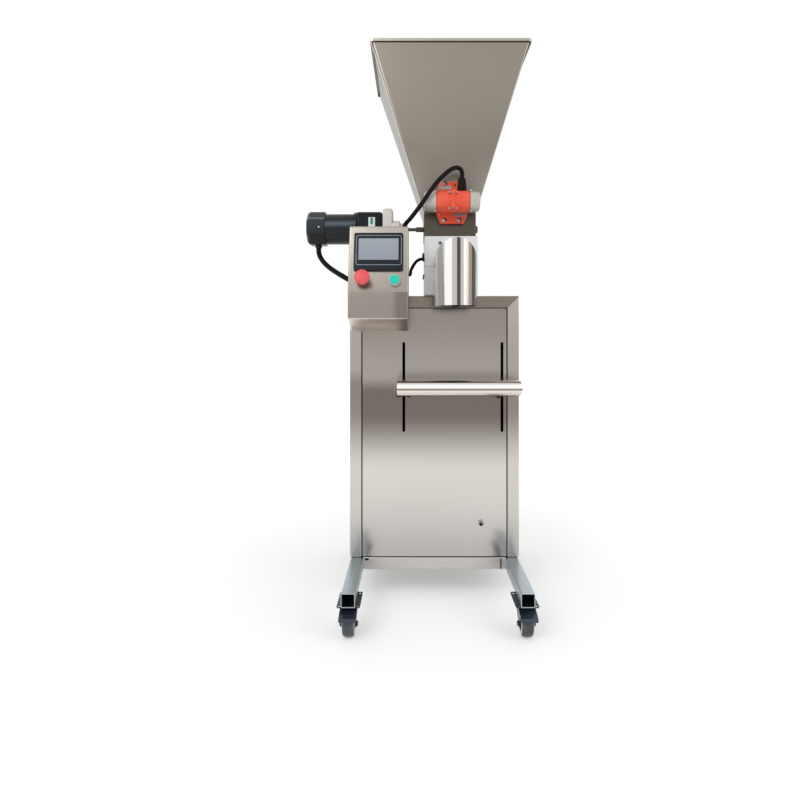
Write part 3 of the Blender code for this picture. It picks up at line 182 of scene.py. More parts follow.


# %% [markdown]
# ## One class for a finish
#
# Every finish here is a Principled shader, some noise, and a few masks. The class keeps the node tree
# and has one method that adds a node of any kind: its settings first, then the values or links of its
# sockets. Positions come from the object's own coordinates, which for a piece of the frame are metres
# on the machine, so painted light and shade can be put at a height read off a drawing.

# %% A finish
class Finish:
    """A material under construction."""

    def __init__(self, name, colour, roughness=0.4, metallic=0.0, **constants):
        self.name = name
        self.material = bpy.data.materials.new(name)
        self.material.use_nodes = True
        self.tree = self.material.node_tree
        self.shader = self.tree.nodes["Principled BSDF"]
        self.set("Base Color", colour)
        self.set("Roughness", roughness)
        self.set("Metallic", metallic)
        for socket, value in constants.items():
            self.set(socket.replace("_", " "), value)

    def put(self, socket, value):
        """Link a Value to a socket, or set the socket's own number or colour."""
        if isinstance(value, Value):
            self.tree.links.new(value.socket, socket)
        elif isinstance(value, tuple) and len(value) == 3 and socket.type == "RGBA":
            socket.default_value = (*value, 1)
        else:
            socket.default_value = value

    def set(self, name, value):
        """Feed one socket of the Principled shader."""
        self.put(self.shader.inputs[name], value)

    def add(self, kind, settings=None, values=None, output=0):
        """Add any node and return one of its outputs."""
        node = self.tree.nodes.new(kind)
        for name, setting in (settings or {}).items():
            setattr(node, name, setting)
        for name, value in (values or {}).items():
            self.put(node.inputs[name], value)
        return Value(self, node.outputs[output])

    def place(self):
        """The point on the surface, in metres."""
        return self.add("ShaderNodeTexCoord", output="Object")

    def axes(self):
        """The three coordinates of the surface point, each by itself."""
        split = self.add("ShaderNodeSeparateXYZ", {}, {0: self.place()}).socket.node
        return [Value(self, socket) for socket in split.outputs]

    def noise(self, scale, detail=2.0, stretch=(1, 1, 1), roughness=0.5):
        """Noise between 0 and 1, drawn out along some axes."""
        point = self.add("ShaderNodeVectorMath", {"operation": "MULTIPLY"}, {0: self.place(), 1: stretch})
        return self.add("ShaderNodeTexNoise", {},
                        {"Vector": point, "Scale": scale, "Detail": detail, "Roughness": roughness})

    def blend(self, factor, first, second):
        """A colour between two colours."""
        return self.add("ShaderNodeMix", {"data_type": "RGBA"}, {0: factor, 6: first, 7: second}, output=2)

    def shade(self, factor, colour, low):
        """A colour made darker where the factor is 0."""
        grey = self.blend(factor, (low, low, low), (1.0, 1.0, 1.0))
        return self.add("ShaderNodeMix", {"data_type": "RGBA", "blend_type": "MULTIPLY"},
                        {0: 1.0, 6: colour, 7: grey}, output=2)

    def bump(self, height, strength, distance):
        """Raise the surface by a height map."""
        normal = self.add("ShaderNodeBump", {},
                          {"Height": height, "Strength": strength, "Distance": distance})
        self.set("Normal", normal)


def srgb(red, green, blue):
    """A screen colour, 0 to 255, as the shader wants it."""
    return tuple((c / 255 / 12.92) if c / 255 <= 0.04045 else ((c / 255 + 0.055) / 1.055) ** 2.4
                 for c in (red, green, blue))


print("mid grey is", [round(c, 3) for c in srgb(128, 128, 128)])

# %% [markdown]
# ## Brushed stainless steel
#
# Sheet steel for food machines is brushed along one direction. The brush leaves lines far longer than
# they are wide, so the noise is stretched along the grain and squeezed across it. The lines change
# three things a little: the roughness, the tone, and the height. A second, slow noise stands for the
# clouds that rolling and handling leave. The axis of the grain is an argument, because each folded
# piece was brushed in its own direction.

# %% Brushed steel
def grain_stretch(axis, along, across):
    """A stretch that draws noise out along one axis."""
    stretch = [across, across, across]
    stretch["xyz".index(axis)] = along
    return tuple(stretch)


def brushed(name, light, dark, roughness, axis, lines=0.35, cloud=0.5, ridge=0.12):
    """Brushed steel between two tones, with its grain along an axis."""
    steel = Finish(name, light, roughness, 1.0)
    streak = steel.noise(1.0, 3.0, grain_stretch(axis, 14, 1500))
    clouds = steel.noise(3.2, 2.0)
    tone = (clouds - 0.5) * cloud + (streak - 0.5) * lines + 0.5
    steel.set("Base Color", steel.blend(tone.fade(0.0, 1.0), dark, light))
    steel.set("Roughness", (streak - 0.5) * 0.14 + roughness)
    steel.bump(streak, ridge, 0.0002)
    return steel


shell_steel = brushed("shell_steel", srgb(172, 167, 160), srgb(146, 141, 134), 0.34, "z")
leg_steel = brushed("leg_steel", srgb(198, 208, 215), srgb(138, 148, 156), 0.28, "y")
cross_steel = brushed("cross_steel", srgb(206, 203, 199), srgb(180, 177, 172), 0.30, "x")
plain_steel = brushed("plain_steel", srgb(170, 168, 163), srgb(140, 138, 134), 0.36, "x")
print("steels ready")

# %% [markdown]
# ## The hopper's sheet
#
# The hopper is the largest plain surface. Its front sheet mirrors the room above and the bench below,
# so it is palest in a soft patch left of the middle and darker toward the neck. A mirror of a room that
# isn't there can't be had from light alone, so that slow change of tone is a painted reflection in the
# sheet's own colour, as a soft fade with the height and a broad noise. The left side sheet is painted a
# plainer, lighter tone as a painted highlight, the neck is painted dark as painted shade, and the hem
# gets a painted highlight over a line of painted shade.

# %% Hopper steel
hopper_low, hopper_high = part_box("hopper")
hopper_steel = Finish("hopper_steel", srgb(152, 146, 136), 0.3, 1.0)
streak = hopper_steel.noise(1.0, 3.0, grain_stretch("x", 10, 1400))
clouds = hopper_steel.noise(2.6, 2.0)
hopper_x, _, hopper_z = hopper_steel.axes()
neck_middle = cabinet_middle + 0.0425
neck_tall = 0.064
hem_tall = 0.0076
hem_line_tall = 0.0028
rise = hopper_z.fade(hopper_low.z + 0.02, hopper_high.z - 0.05)
beside_neck = (hopper_x - neck_middle).size().fade(0.045, 0.115)
low_down = hopper_z.fade(hopper_low.z + 0.26, hopper_low.z + 0.06)
# Painted reflection: the sheet is painted paler with the height, and in a patch beside the neck low down.
tone = (clouds - 0.5) * 0.30 + (streak - 0.5) * 0.14 + rise * 0.6 + 0.18 + beside_neck * low_down * 0.75
sheet = hopper_steel.blend(tone.fade(0.0, 1.0), srgb(120, 113, 103), srgb(149, 142, 132))
# Painted highlight: the left side sheet, which faces the key light, is painted a plainer, lighter tone.
facing = hopper_steel.add("ShaderNodeNewGeometry", output="Normal")
leftward = hopper_steel.add("ShaderNodeVectorMath", {"operation": "DOT_PRODUCT"},
                            {0: facing, 1: (-1, 0, 0)}, output="Value")
sheet = hopper_steel.blend(leftward.above(0.3) * 0.9, sheet, srgb(134, 129, 121))
# Painted shade: the neck under the hopper's slopes is painted dark.
in_neck = hopper_z.below(hopper_low.z + neck_tall)
sheet = hopper_steel.blend(in_neck, sheet, srgb(84, 79, 71))
# Painted highlight on the hem, and painted shade in the crease under it, which the bump also presses in.
hem_height = hopper_high.z - hem_tall
hem_crease_shade = hopper_z.above(hem_height - hem_line_tall) * hopper_z.below(hem_height)
hem = hopper_z.above(hem_height)
sheet = hopper_steel.blend(hem, hopper_steel.blend(hem_crease_shade, sheet, srgb(122, 116, 104)), srgb(176, 172, 160))
hopper_steel.set("Base Color", sheet)
hopper_steel.set("Roughness", (streak - 0.5) * 0.1 + 0.3)
hopper_steel.bump(streak - hem_crease_shade, 0.08, 0.0002)
print("hopper is", round(hopper_high.z - hopper_low.z, 3), "m tall")

# %% [markdown]
# ## The mirror-like front panel
#
# The slotted panel is finer than the rest: it mirrors the shelf and the chute. A low roughness does
# that. Its tone is a painted reflection as well: it falls from warm brown-grey at the top to a painted
# shadow, its darkest, just below the shelf, and rises again to a pale painted reflection of the white
# floor at the foot. A function with a few fades along the height makes that tone, because the posts
# beside the panel stand in the same room.

# %% Panel steel
def upright_tone(steel, share, foot, pale, dark, upper, top):
    """Painted reflection on upright steel: the pale floor low down, painted shade under the shelf, then the
    room.
    """
    low = steel.blend(share.fade(0.20, 0.0), pale, foot)
    low = steel.blend(share.fade(0.33, 0.58), low, dark)
    high = steel.blend(share.fade(0.75, 1.0), upper, top)
    return steel.blend(share.fade(0.66, 0.73), low, high)


panel_low, panel_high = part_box("front_panel")
shelf_low, shelf_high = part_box("shelf_tray")
panel_steel = Finish("panel_steel", srgb(150, 142, 132), 0.16, 1.0)
streak = panel_steel.noise(1.0, 3.0, grain_stretch("x", 8, 1300))
clouds = panel_steel.noise(4.0, 1.5, (0.6, 1, 1.4))
panel_z = panel_steel.axes()[2]
share_up = (panel_z - panel_low.z) / (panel_high.z - panel_low.z)
sheen = upright_tone(panel_steel, share_up, srgb(187, 183, 180), srgb(200, 196, 191), srgb(114, 107, 99),
                     srgb(162, 156, 149), srgb(147, 140, 132))
spread = ((clouds - 0.5) * 0.5 + (streak - 0.5) * 0.25 + 0.6).fade(0.0, 1.0)
panel_steel.set("Base Color", panel_steel.shade(spread, sheen, 0.88))
panel_steel.set("Roughness", (streak - 0.5) * 0.06 + 0.17)
panel_steel.bump(streak, 0.05, 0.0001)
print("panel is", round(panel_high.z - panel_low.z, 3), "m tall")

# %% [markdown]
# ## The welded front frame
#
# Two posts and a head of square tube are cut at 45 degrees, welded, and ground flush, which leaves a
# fine dark line across each top corner. A line that thin isn't worth a piece of its own: a mask that is
# 1 where the distance from the corner is the same across and down draws it in the finish.

# %% Frame steel
frame_face = 0.034
frame_steel = Finish("frame_steel", srgb(172, 168, 162), 0.22, 1.0)
streak = frame_steel.noise(1.0, 3.0, grain_stretch("z", 10, 1300))
clouds = frame_steel.noise(2.2, 2.0, (1, 1, 1.2))
frame_x, _, frame_z = frame_steel.axes()
from_side = ((frame_x - cabinet_middle).size() - frame_high.x + cabinet_middle).size()
from_top = (frame_z - frame_high.z).size()
mitre_half = 0.0006
mitre = (from_side - from_top).size().below(mitre_half) * from_top.below(frame_face)
# The posts carry the same painted reflection and painted shade along the height as the panel.
share_up = (frame_z - frame_low.z) / (frame_high.z - frame_low.z)
sheen = upright_tone(frame_steel, share_up, srgb(184, 182, 177), srgb(197, 193, 187), srgb(139, 132, 124),
                     srgb(168, 162, 155), srgb(178, 172, 166))
tone = ((clouds - 0.5) * 0.6 + (streak - 0.5) * 0.3 + 0.6).fade(0.0, 1.0)
# Painted shade: the head between the posts is painted darker than the posts.
head = from_top.below(frame_face) * (from_side - from_top).above(0.0)
sheen = frame_steel.blend(head, sheen, srgb(128, 121, 111))
shaded = frame_steel.shade(tone, sheen, 0.86)
frame_steel.set("Base Color", frame_steel.blend(mitre, shaded, srgb(92, 88, 84)))
frame_steel.set("Roughness", (streak - 0.5) * 0.1 + 0.22)
frame_steel.bump(streak - mitre, 0.08, 0.0002)
print("mitre lines run", round(frame_face * 1000), "mm each way")

# %% [markdown]
# ## Polished tube
#
# The elbow chute and the shelf's roll are polished after welding. They hold sharp, stretched mirror
# images of the room: dark windows and pale walls become long stripes along the tube. The finish is
# almost a mirror, and soft stripes painted into the tone, worked out from where the point lies across
# the tube, are a painted reflection of that room. The roll's underside is painted dark as painted shade.

# %% Chute and shelf steel
chute_low, chute_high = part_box("chute")
chute_middle = (chute_low.x + chute_high.x) / 2
chute_radius = (chute_high.x - chute_low.x) / 2

chute_steel = Finish("chute_steel", srgb(205, 204, 203), 0.11, 1.0)
chute_x = chute_steel.axes()[0]
share_across = (chute_x - chute_middle) / chute_radius
mirror_white = srgb(250, 250, 250)
mirror_pale = srgb(195, 191, 187)
mirror_tan = srgb(160, 150, 140)
mirror_dark = srgb(76, 67, 59)
stripes = chute_steel.blend(share_across.fade(0.30, 0.50), mirror_pale, mirror_tan)
stripes = chute_steel.blend(share_across.stripe(-0.40, 0.17), stripes, mirror_white)
stripes = chute_steel.blend(share_across.stripe(-0.90, 0.04), stripes, mirror_white)
stripes = chute_steel.blend(share_across.stripe(0.08, 0.08), stripes, mirror_dark)
stripes = chute_steel.blend(share_across.stripe(0.80, 0.10), stripes, mirror_dark)
streak = chute_steel.noise(1.0, 2.0, grain_stretch("z", 6, 900))
chute_steel.set("Base Color", chute_steel.blend(streak * 0.08, stripes, srgb(190, 188, 186)))
chute_steel.set("Roughness", streak * 0.1 + 0.08)
# The metallic is lowered at the left edge, so that the painted white highlight there shows in diffuse light.
chute_steel.set("Metallic", share_across.fade(-0.78, -0.50) * 0.85 + 0.15)
print("chute is", round(chute_radius * 2000), "mm across")

roll_steel = Finish("roll_steel", srgb(222, 219, 213), 0.12, 1.0)
_, roll_y, roll_z = roll_steel.axes()
roll_tall = 0.042
roll_deep = 0.043
share_up = (roll_z - shelf_high.z + roll_tall) / roll_tall
# Painted shade darkens the roll's underside, and painted reflections lie across it in light and dark stripes.
bands = roll_steel.blend(share_up.fade(0.12, 0.02), srgb(222, 213, 205), srgb(80, 69, 59))
bands = roll_steel.blend(share_up.stripe(0.45, 0.05), bands, srgb(112, 106, 99))
bands = roll_steel.blend(share_up.stripe(0.65, 0.11), bands, srgb(249, 248, 247))
bands = roll_steel.blend(share_up.stripe(0.90, 0.05), bands, srgb(112, 106, 99))
in_front = roll_y.below(shelf_low.y + roll_deep)
deck_tone = roll_steel.noise(3.0, 2.0)
deck = roll_steel.blend(deck_tone, srgb(150, 148, 145), srgb(170, 166, 163))
roll_steel.set("Base Color", roll_steel.blend(in_front, deck, bands))
streak = roll_steel.noise(1.0, 2.0, grain_stretch("x", 6, 900))
roll_steel.set("Roughness", streak * 0.1 + 0.1)
print("roll steel ready")

# %% [markdown]
# ## Paints, castings and plastics
#
# Paint and plastic are never flat either. Cast housings get a fine pebble from a small noise; sprayed
# paint gets the soft unevenness called orange peel; moulded plastic gets a fine texture. One function
# makes them all, because they differ only in their tones, gloss and the size of the grain.

# %% Paint, casting and plastic
def coated(name, light, dark, roughness, grain=350.0, ridge=0.15, metallic=0.0, **constants):
    """A painted, cast or moulded surface with a fine grain, between two screen colours."""
    light, dark = srgb(*light), srgb(*dark)
    coat = Finish(name, light, roughness, metallic, **constants)
    pebble = coat.noise(grain, 3.0)
    patches = coat.noise(18.0, 2.0)
    tone = (patches - 0.5) * 1.1 + (pebble - 0.5) * 0.4 + 0.5
    coat.set("Base Color", coat.blend(tone.fade(0.0, 1.0), dark, light))
    coat.set("Roughness", (pebble - 0.5) * 0.16 + roughness)
    coat.bump(pebble, ridge, 0.0004)
    return coat


motor_paint = coated("motor_paint", (21, 30, 36), (10, 16, 21), 0.28, 260.0, 0.1, Specular_IOR_Level=0.2)
motor_low, motor_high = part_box("drive_motor")
motor_height = (motor_low.z + motor_high.z) / 2
# The drive motor's paint carries a painted highlight band just above its axis and a paler painted reflection
# band lower down.
motor_sheen = coated("motor_sheen", (26, 34, 40), (14, 20, 25), 0.3, 260.0, 0.1, Specular_IOR_Level=0.25)
from_axis = motor_sheen.axes()[2] - motor_height
painted_highlight_band = (from_axis - 0.0100).size().fade(0.0140, 0.0)
painted_reflection_band = (from_axis + 0.0330).size().fade(0.0120, 0.0)
paint = motor_sheen.blend(painted_highlight_band, srgb(20, 26, 31), srgb(76, 87, 98))
motor_sheen.set("Base Color", motor_sheen.blend(painted_reflection_band * 0.5, paint, srgb(52, 53, 52)))
# The fan cover's paint is painted lighter toward its top, with a painted highlight line along the upper
# chamfer edge.
cover_paint = coated("cover_paint", (34, 43, 50), (22, 29, 35), 0.3, 260.0, 0.1, Specular_IOR_Level=0.25)
cover_rise = cover_paint.axes()[2] - motor_height
painted_edge_highlight = (cover_rise - 0.0262).size().fade(0.0022, 0.0004)
painted_cover_light = cover_paint.blend(cover_rise.fade(-0.0300, 0.0300), srgb(20, 23, 26), srgb(40, 50, 58))
cover_paint.set("Base Color", cover_paint.blend(painted_edge_highlight, painted_cover_light, srgb(132, 140, 147)))
adapter_cast = coated("adapter_cast", (240, 236, 231), (222, 217, 212), 0.48, 420.0, 0.3)
housing_metal = coated("housing_metal", (246, 248, 249), (232, 235, 237), 0.36, 500.0, 0.1, 0.15)
grey_casting = coated("grey_casting", (208, 205, 199), (172, 169, 163), 0.45, 300.0, 0.3, 0.3)
orange_paint = coated("orange_paint", (250, 108, 80), (230, 80, 54), 0.4, 240.0, 0.3, Specular_IOR_Level=0.3)
# A darker copy of the orange paint, used as painted shade in the seats under the lug bolts.
orange_painted_shade = coated("orange_painted_shade", (202, 58, 38), (176, 44, 26), 0.42, 240.0, 0.3, Specular_IOR_Level=0.3)
black_plastic = coated("black_plastic", (15, 22, 34), (8, 13, 23), 0.3, 900.0, 0.06, Specular_IOR_Level=0.25)
caster_coat = coated("caster_coat", (28, 35, 48), (15, 19, 28), 0.26, 500.0, 0.12, Specular_IOR_Level=0.5)
# The pedals wear the casters' own navy coat, with lighter patches as painted highlights.
pedal_highlight_coat = coated("pedal_highlight_coat", (54, 64, 84), (13, 17, 27), 0.24, 300.0, 0.1, Specular_IOR_Level=0.6)
rubber = coated("rubber", (8, 8, 9), (4, 4, 5), 0.5, 700.0, 0.15, Specular_IOR_Level=0.12)
# The tyre's grey is partly its own rubber and partly a painted highlight of its lit tread.
tread_rubber = coated("tread_rubber", (98, 102, 108), (38, 42, 47), 0.4, 500.0, 0.2, Specular_IOR_Level=0.35)
stop_plastic = coated("stop_plastic", (246, 104, 108), (232, 80, 86), 0.3, 900.0, 0.03,
                      Specular_IOR_Level=0.4)
# A darker copy of the stop's red plastic, as painted shade on the collar and stem under the head.
stop_painted_shade = coated("stop_painted_shade", (120, 24, 28), (84, 14, 18), 0.22, 900.0, 0.03)
start_plastic = coated("start_plastic", (0, 224, 194), (0, 196, 166), 0.3, 900.0, 0.03,
                       Specular_IOR_Level=0.4)
start_pale = coated("start_pale", (214, 222, 220), (186, 198, 195), 0.25, 700.0, 0.03, 0.5)
bolt_steel = coated("bolt_steel", (200, 198, 195), (150, 148, 145), 0.28, 800.0, 0.08, 1.0)
dark_bolt = coated("dark_bolt", (104, 100, 90), (66, 62, 54), 0.36, 800.0, 0.08, 0.8)
# Near-black used as painted shade: in gaps, holes, sockets and seats, and inside the cabinet.
painted_shade_black = coated("painted_shade_black", (22, 20, 19), (11, 10, 10), 0.7, 500.0, 0.05, Specular_IOR_Level=0.1)
bare_plate = coated("bare_plate", (176, 166, 166), (146, 138, 138), 0.35, 700.0, 0.05, 0.7)
line_silver = coated("line_silver", (150, 158, 168), (122, 130, 140), 0.3, 900.0, 0.02, 0.6)
label_white = coated("label_white", (244, 246, 245), (232, 235, 234), 0.5, 900.0, 0.02,
                     Specular_IOR_Level=0.2)
weld_bright = coated("weld_bright", (240, 233, 223), (226, 218, 208), 0.4, 700.0, 0.05, 0.3)
label_green = coated("label_green", (22, 168, 128), (14, 148, 110), 0.5, 900.0, 0.02, Specular_IOR_Level=0.2)

print("coats ready")

# %% [markdown]
# ## The folded control box
#
# The box has three bands on its front, each with painted light in its own tone: the tall face that
# leans back holds a pale painted reflection of the ceiling, the upright band below it a darker painted
# reflection of the floor of the room, and the lip a near-white painted highlight. The grain runs up. The
# middle band's painted reflection is darker toward its right end, with an uneven edge.

# %% Control box steel
console_low, console_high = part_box("control_box")
box_steel = Finish("box_steel", srgb(188, 180, 170), 0.3, 1.0)
streak = box_steel.noise(1.0, 3.0, grain_stretch("z", 12, 1400))
blotch = box_steel.noise(26.0, 2.0, (1.2, 1, 0.5))
console_x, _, console_z = box_steel.axes()
band_top = 0.0996
lip_tall = 0.0312
fold_height = console_low.z + band_top
lip_height = console_low.z + lip_tall
# Painted reflection: the leaning face is painted paler toward its top.
climb = console_z.fade(fold_height, console_high.z)
face = box_steel.blend(climb, srgb(157, 150, 141), srgb(175, 168, 160))
# Painted reflection on the upright band, painted darker toward its right end with an uneven edge.
band_share = (console_x - console_low.x) / (console_high.x - console_low.x)
right_end = ((blotch - 0.5) * 0.12 + band_share).fade(0.70, 0.85)
band = box_steel.blend(right_end, srgb(150, 142, 135), srgb(124, 117, 112))
facing = box_steel.add("ShaderNodeNewGeometry", output="Normal")
frontward = box_steel.add("ShaderNodeVectorMath", {"operation": "DOT_PRODUCT"},
                          {0: facing, 1: (0, -0.8, -0.6)}, output="Value").above(0.2)
on_band = console_z.below(fold_height) * console_z.above(lip_height) * frontward
face = box_steel.blend(on_band, face, band)
# Painted highlight: the lip is painted near white.
face = box_steel.blend(console_z.below(lip_height) * frontward, face, srgb(252, 242, 232))
box_steel.set("Base Color", box_steel.shade(streak, face, 0.93))
box_steel.set("Roughness", (streak - 0.5) * 0.1 + 0.3)
box_steel.bump(streak, 0.06, 0.0002)
print("fold is", round((fold_height - console_low.z) * 1000), "mm above the box's lower edge")

# %% [markdown]
# ## The touch panel's glass
#
# The screen is off or on a plain page: a soft grey with a faint vertical change, under clear glass. No
# coat is added for the glass: the shader's own gloss over the colour stands for it.

# %% Screen glass
display_low, display_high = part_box("display")
screen_glass = Finish("screen_glass", srgb(157, 164, 173), 0.3, 0.0, Specular_IOR_Level=0.3)
glass_z = screen_glass.axes()[2]
glow = screen_glass.noise(14.0, 1.0)
screen_rise = glass_z.fade(display_low.z, display_high.z)
shade = ((glow - 0.5) * 0.4 + screen_rise * 0.5 + 0.25).fade(0.0, 1.0)
screen_glass.set("Base Color", screen_glass.blend(shade, srgb(150, 157, 167), srgb(162, 169, 178)))
print("display is", round((display_high.x - display_low.x) * 1000), "mm wide")

# %% [markdown]
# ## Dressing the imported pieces
#
# Most of the model's own pieces are the right shape and only need their finish. Their meshes are
# faceted, so each face is shaded smooth, a Weld joins the facets, and an Edge Split keeps the corners
# over 35 degrees crisp. A weighted normal then keeps the large flat faces flat, so that no shading
# smears from a small chamfer over a big sheet. The meshes themselves stay as they are.

# %% Give each piece its finish
finishes = {
    "base_leg_left": leg_steel, "base_leg_right": leg_steel, "base_cross_front": cross_steel,
    "base_cross_rear": cross_steel, "front_frame": frame_steel, "front_panel": panel_steel,
    "cabinet_shell": shell_steel, "service_cover": shell_steel, "foot_socket": bolt_steel,
    "mains_gland": black_plastic, "drive_unit": grey_casting, "control_box": box_steel,
    "box_back": plain_steel, "screen_bezel": black_plastic, "display": screen_glass,
    "stop_ring": stop_painted_shade, "stop_stem": stop_painted_shade, "stop_head": stop_plastic, "start_ring": start_pale,
    "start_button": start_plastic, "shelf_tray": roll_steel, "clamp_bar": plain_steel,
    "knob_left": black_plastic, "knob_right": black_plastic, "hopper": hopper_steel,
    "housing_lower": housing_metal, "housing_upper": housing_metal, "barrel": plain_steel,
    "feed_screw": bolt_steel, "screw_motor": motor_paint, "chute": chute_steel, "stirrer": dark_bolt,
    "stirrer_bearing": dark_bolt, "drive_adapter": adapter_cast, "drive_gearbox": motor_paint,
    "drive_motor": motor_sheen, "fan_cover": cover_paint, "drive_pedestal": plain_steel,
    "vibrator_pad": plain_steel, "vibrator_body": orange_paint, "vibrator_cap_right": grey_casting,
    "vibrator_cap_left": grey_casting, "vibrator_relief": rubber,
    "vibrator_cable": rubber, "motor_cable": rubber, "sensor_cable": rubber,
}
corners = ["front_left", "front_right", "rear_left", "rear_right"]
for corner in corners:
    finishes[corner + "_plate"] = caster_coat
    finishes[corner + "_fork"] = caster_coat
    finishes[corner + "_wheel"] = tread_rubber
for corner in corners[:2]:
    finishes[corner + "_pedal"] = pedal_highlight_coat

for node, finish in finishes.items():
    thing = frame["nodes"][node]
    thing.data.materials.clear()
    thing.data.materials.append(finish.material)
    thing.data.shade_smooth()
    weld = thing.modifiers.new("weld", "WELD")
    weld.merge_threshold = 0.00001
    split = thing.modifiers.new("corners", "EDGE_SPLIT")
    split.split_angle = math.radians(35)
    weighted = thing.modifiers.new("flat faces", "WEIGHTED_NORMAL")
    weighted.weight = 90
print("dressed", len(finishes), "of", len(frame["nodes"]), "nodes")

# %% [markdown]
# ## The cables
#
# Three black cables are held at both ends: one from the vibrator down into the control box, one from
# the stirrer motor into the box's side, and a thin one from the box to the sensor on the housing. Each
# leaves its relief straight, then bends in one smooth curve. A smooth curve through a few chosen points
# is worked out first, and a curve object with a round section follows it.

# %% Cable routes
def smooth_route(points, steps):
    """A smooth curve through a cable's own points, with a straight piece at each end."""
    points = [Vector(point) for point in points]
    route = [points[0]]
    for i in range(1, len(points) - 2):
        a, b, c, d = points[i - 1:i + 3]
        for k in range(steps):
            t = k / steps
            route.append(0.5 * ((2 * b) + (c - a) * t + (2 * a - 5 * b + 4 * c - d) * t * t
                                + (3 * b - a - 3 * c + d) * t * t * t))
    return route + points[-2:]


relief_low, relief_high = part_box("vibrator_relief")
fan_low, fan_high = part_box("fan_cover")
housing_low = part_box("housing_upper")[0]
box_low, box_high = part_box("control_box")
box_left = box_low.x - cabinet_middle
box_right = box_high.x - cabinet_middle
relief_x = (relief_low.x + relief_high.x) / 2 - cabinet_middle
relief_y = (relief_low.y + relief_high.y) / 2 - cabinet_front
motor_y = (fan_low.y + fan_high.y) / 2 - cabinet_front
gap = 0.0003

vibrator_route = [(relief_x, relief_y, relief_high.z + gap), (0.0735, -0.0950, 1.2170),
                  (0.0700, -0.0970, 1.2275), (0.0610, -0.1010, 1.2325), (0.0500, -0.1060, 1.2300),
                  (0.0380, -0.1110, 1.2225), (0.0240, -0.1180, 1.2095), (0.0080, -0.1260, 1.1925),
                  (-0.0080, -0.1325, 1.1715), (-0.0240, -0.1360, 1.1480), (-0.0400, -0.1350, 1.1245),
                  (-0.0560, -0.1280, 1.1045), (-0.0710, -0.1160, 1.0880), (-0.0820, -0.1060, 1.0780),
                  (-0.0870, -0.1020, 1.0680), (-0.0870, -0.1020, 1.0480)]
boss_x = -0.3480
motor_drop = fan_low.z - gap
motor_route = [(boss_x, motor_y, motor_drop), (boss_x, motor_y, motor_drop - 0.006),
               (-0.3470, 0.0520, 1.0180), (-0.3415, 0.0450, 1.0045), (-0.3295, 0.0330, 0.9880),
               (-0.3115, 0.0170, 0.9710), (-0.2900, -0.0010, 0.9555), (-0.2690, -0.0190, 0.9420),
               (-0.2500, -0.0330, 0.9310), (box_left - 0.004, -0.0400, 0.9255),
               (box_left + 0.012, -0.0400, 0.9255)]
sensor_side = housing_low.x - cabinet_middle
sensor_route = [(box_right - 0.012, -0.0400, 0.9420), (box_right + 0.003, -0.0400, 0.9420),
                (-0.0690, -0.0340, 0.9560), (-0.0620, -0.0230, 0.9710), (-0.0540, -0.0100, 0.9840),
                (-0.0440, 0.0020, 0.9920), (sensor_side - 0.005, 0.0060, 0.9940),
                (sensor_side - gap, 0.0060, 0.9940)]


def round_line(name, route, radius, resolution, finish):
    """A curve with a round section along a route."""
    curve = bpy.data.curves.new(name, "CURVE")
    curve.dimensions = "3D"
    curve.bevel_depth = radius
    curve.bevel_resolution = resolution
    spline = curve.splines.new("POLY")
    spline.points.add(len(route) - 1)
    for point, place in zip(spline.points, route):
        point.co = (*place, 1)
    curve.materials.append(finish.material)
    line = bpy.data.objects.new(name, curve)
    bpy.context.scene.collection.objects.link(line)
    return line


def lay_cable(name, node, points, radius):
    route = [spot(*point) for point in smooth_route(points, 5)]
    cable = round_line(name, route, radius, 4, rubber)
    cable.data.use_fill_caps = True
    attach(cable, "machine")
    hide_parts(node)
    return cable


lay_cable("vibrator_lead", "vibrator_cable", vibrator_route, 0.0060)
lay_cable("motor_lead", "motor_cable", motor_route, 0.0075)
lay_cable("sensor_lead", "sensor_cable", sensor_route, 0.0045)

# %% [markdown]
# ## Helpers for small pieces
#
# Three shapes make nearly all the small hardware: a profile turned about an axis, a flat outline given
# a thickness, and a group of bolt heads. A small frame of three directions says how a piece stands, so
# that the same profile can face the operator, the floor or the side.

# %% Turned, flat and bolted pieces
def stand(centre, normal, up=(0, 0, 1)):
    """A matrix whose z points along a normal, at a place."""
    z = Vector(normal).normalized()
    x = Vector(up).cross(z)
    if x.length < 0.001:
        x = Vector((1, 0, 0))
    x.normalize()
    y = z.cross(x)
    turn = Matrix((x, y, z)).transposed().to_4x4()
    return Matrix.Translation(centre) @ turn


def add_piece(name, shape, finish, body, angle=35):
    """Close a bmesh into a piece that rides on a body."""
    mesh = bpy.data.meshes.new(name)
    shape.to_mesh(mesh)
    shape.free()
    mesh.shade_smooth()
    mesh.set_sharp_from_angle(angle=math.radians(angle))
    mesh.materials.append(finish.material)
    piece = bpy.data.objects.new(name, mesh)
    bpy.context.scene.collection.objects.link(piece)
    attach(piece, body)
    return piece


def turn_into(shape, profile, matrix, sides=48):
    """Turn a profile of (radius, height) points about a matrix's z, into a bmesh."""
    rings = []
    for radius, height in profile:
        if radius == 0:
            rings.append([shape.verts.new(matrix @ Vector((0, 0, height)))])
        else:
            turns = [2 * math.pi * k / sides for k in range(sides)]
            rings.append([shape.verts.new(matrix @ Vector((radius * math.cos(turn),
                                                           radius * math.sin(turn), height)))
                          for turn in turns])
    for upper, lower in zip(rings, rings[1:]):
        for k in range(sides):
            j = (k + 1) % sides
            corner = [upper[k % len(upper)], lower[k % len(lower)],
                      lower[j % len(lower)], upper[j % len(upper)]]
            unique = [v for i, v in enumerate(corner) if v not in corner[:i]]
            if len(unique) > 2:
                shape.faces.new(unique)


def turned(name, profile, matrix, finish, body, sides=48):
    """A turned piece."""
    shape = bmesh.new()
    turn_into(shape, profile, matrix, sides)
    return add_piece(name, shape, finish, body)


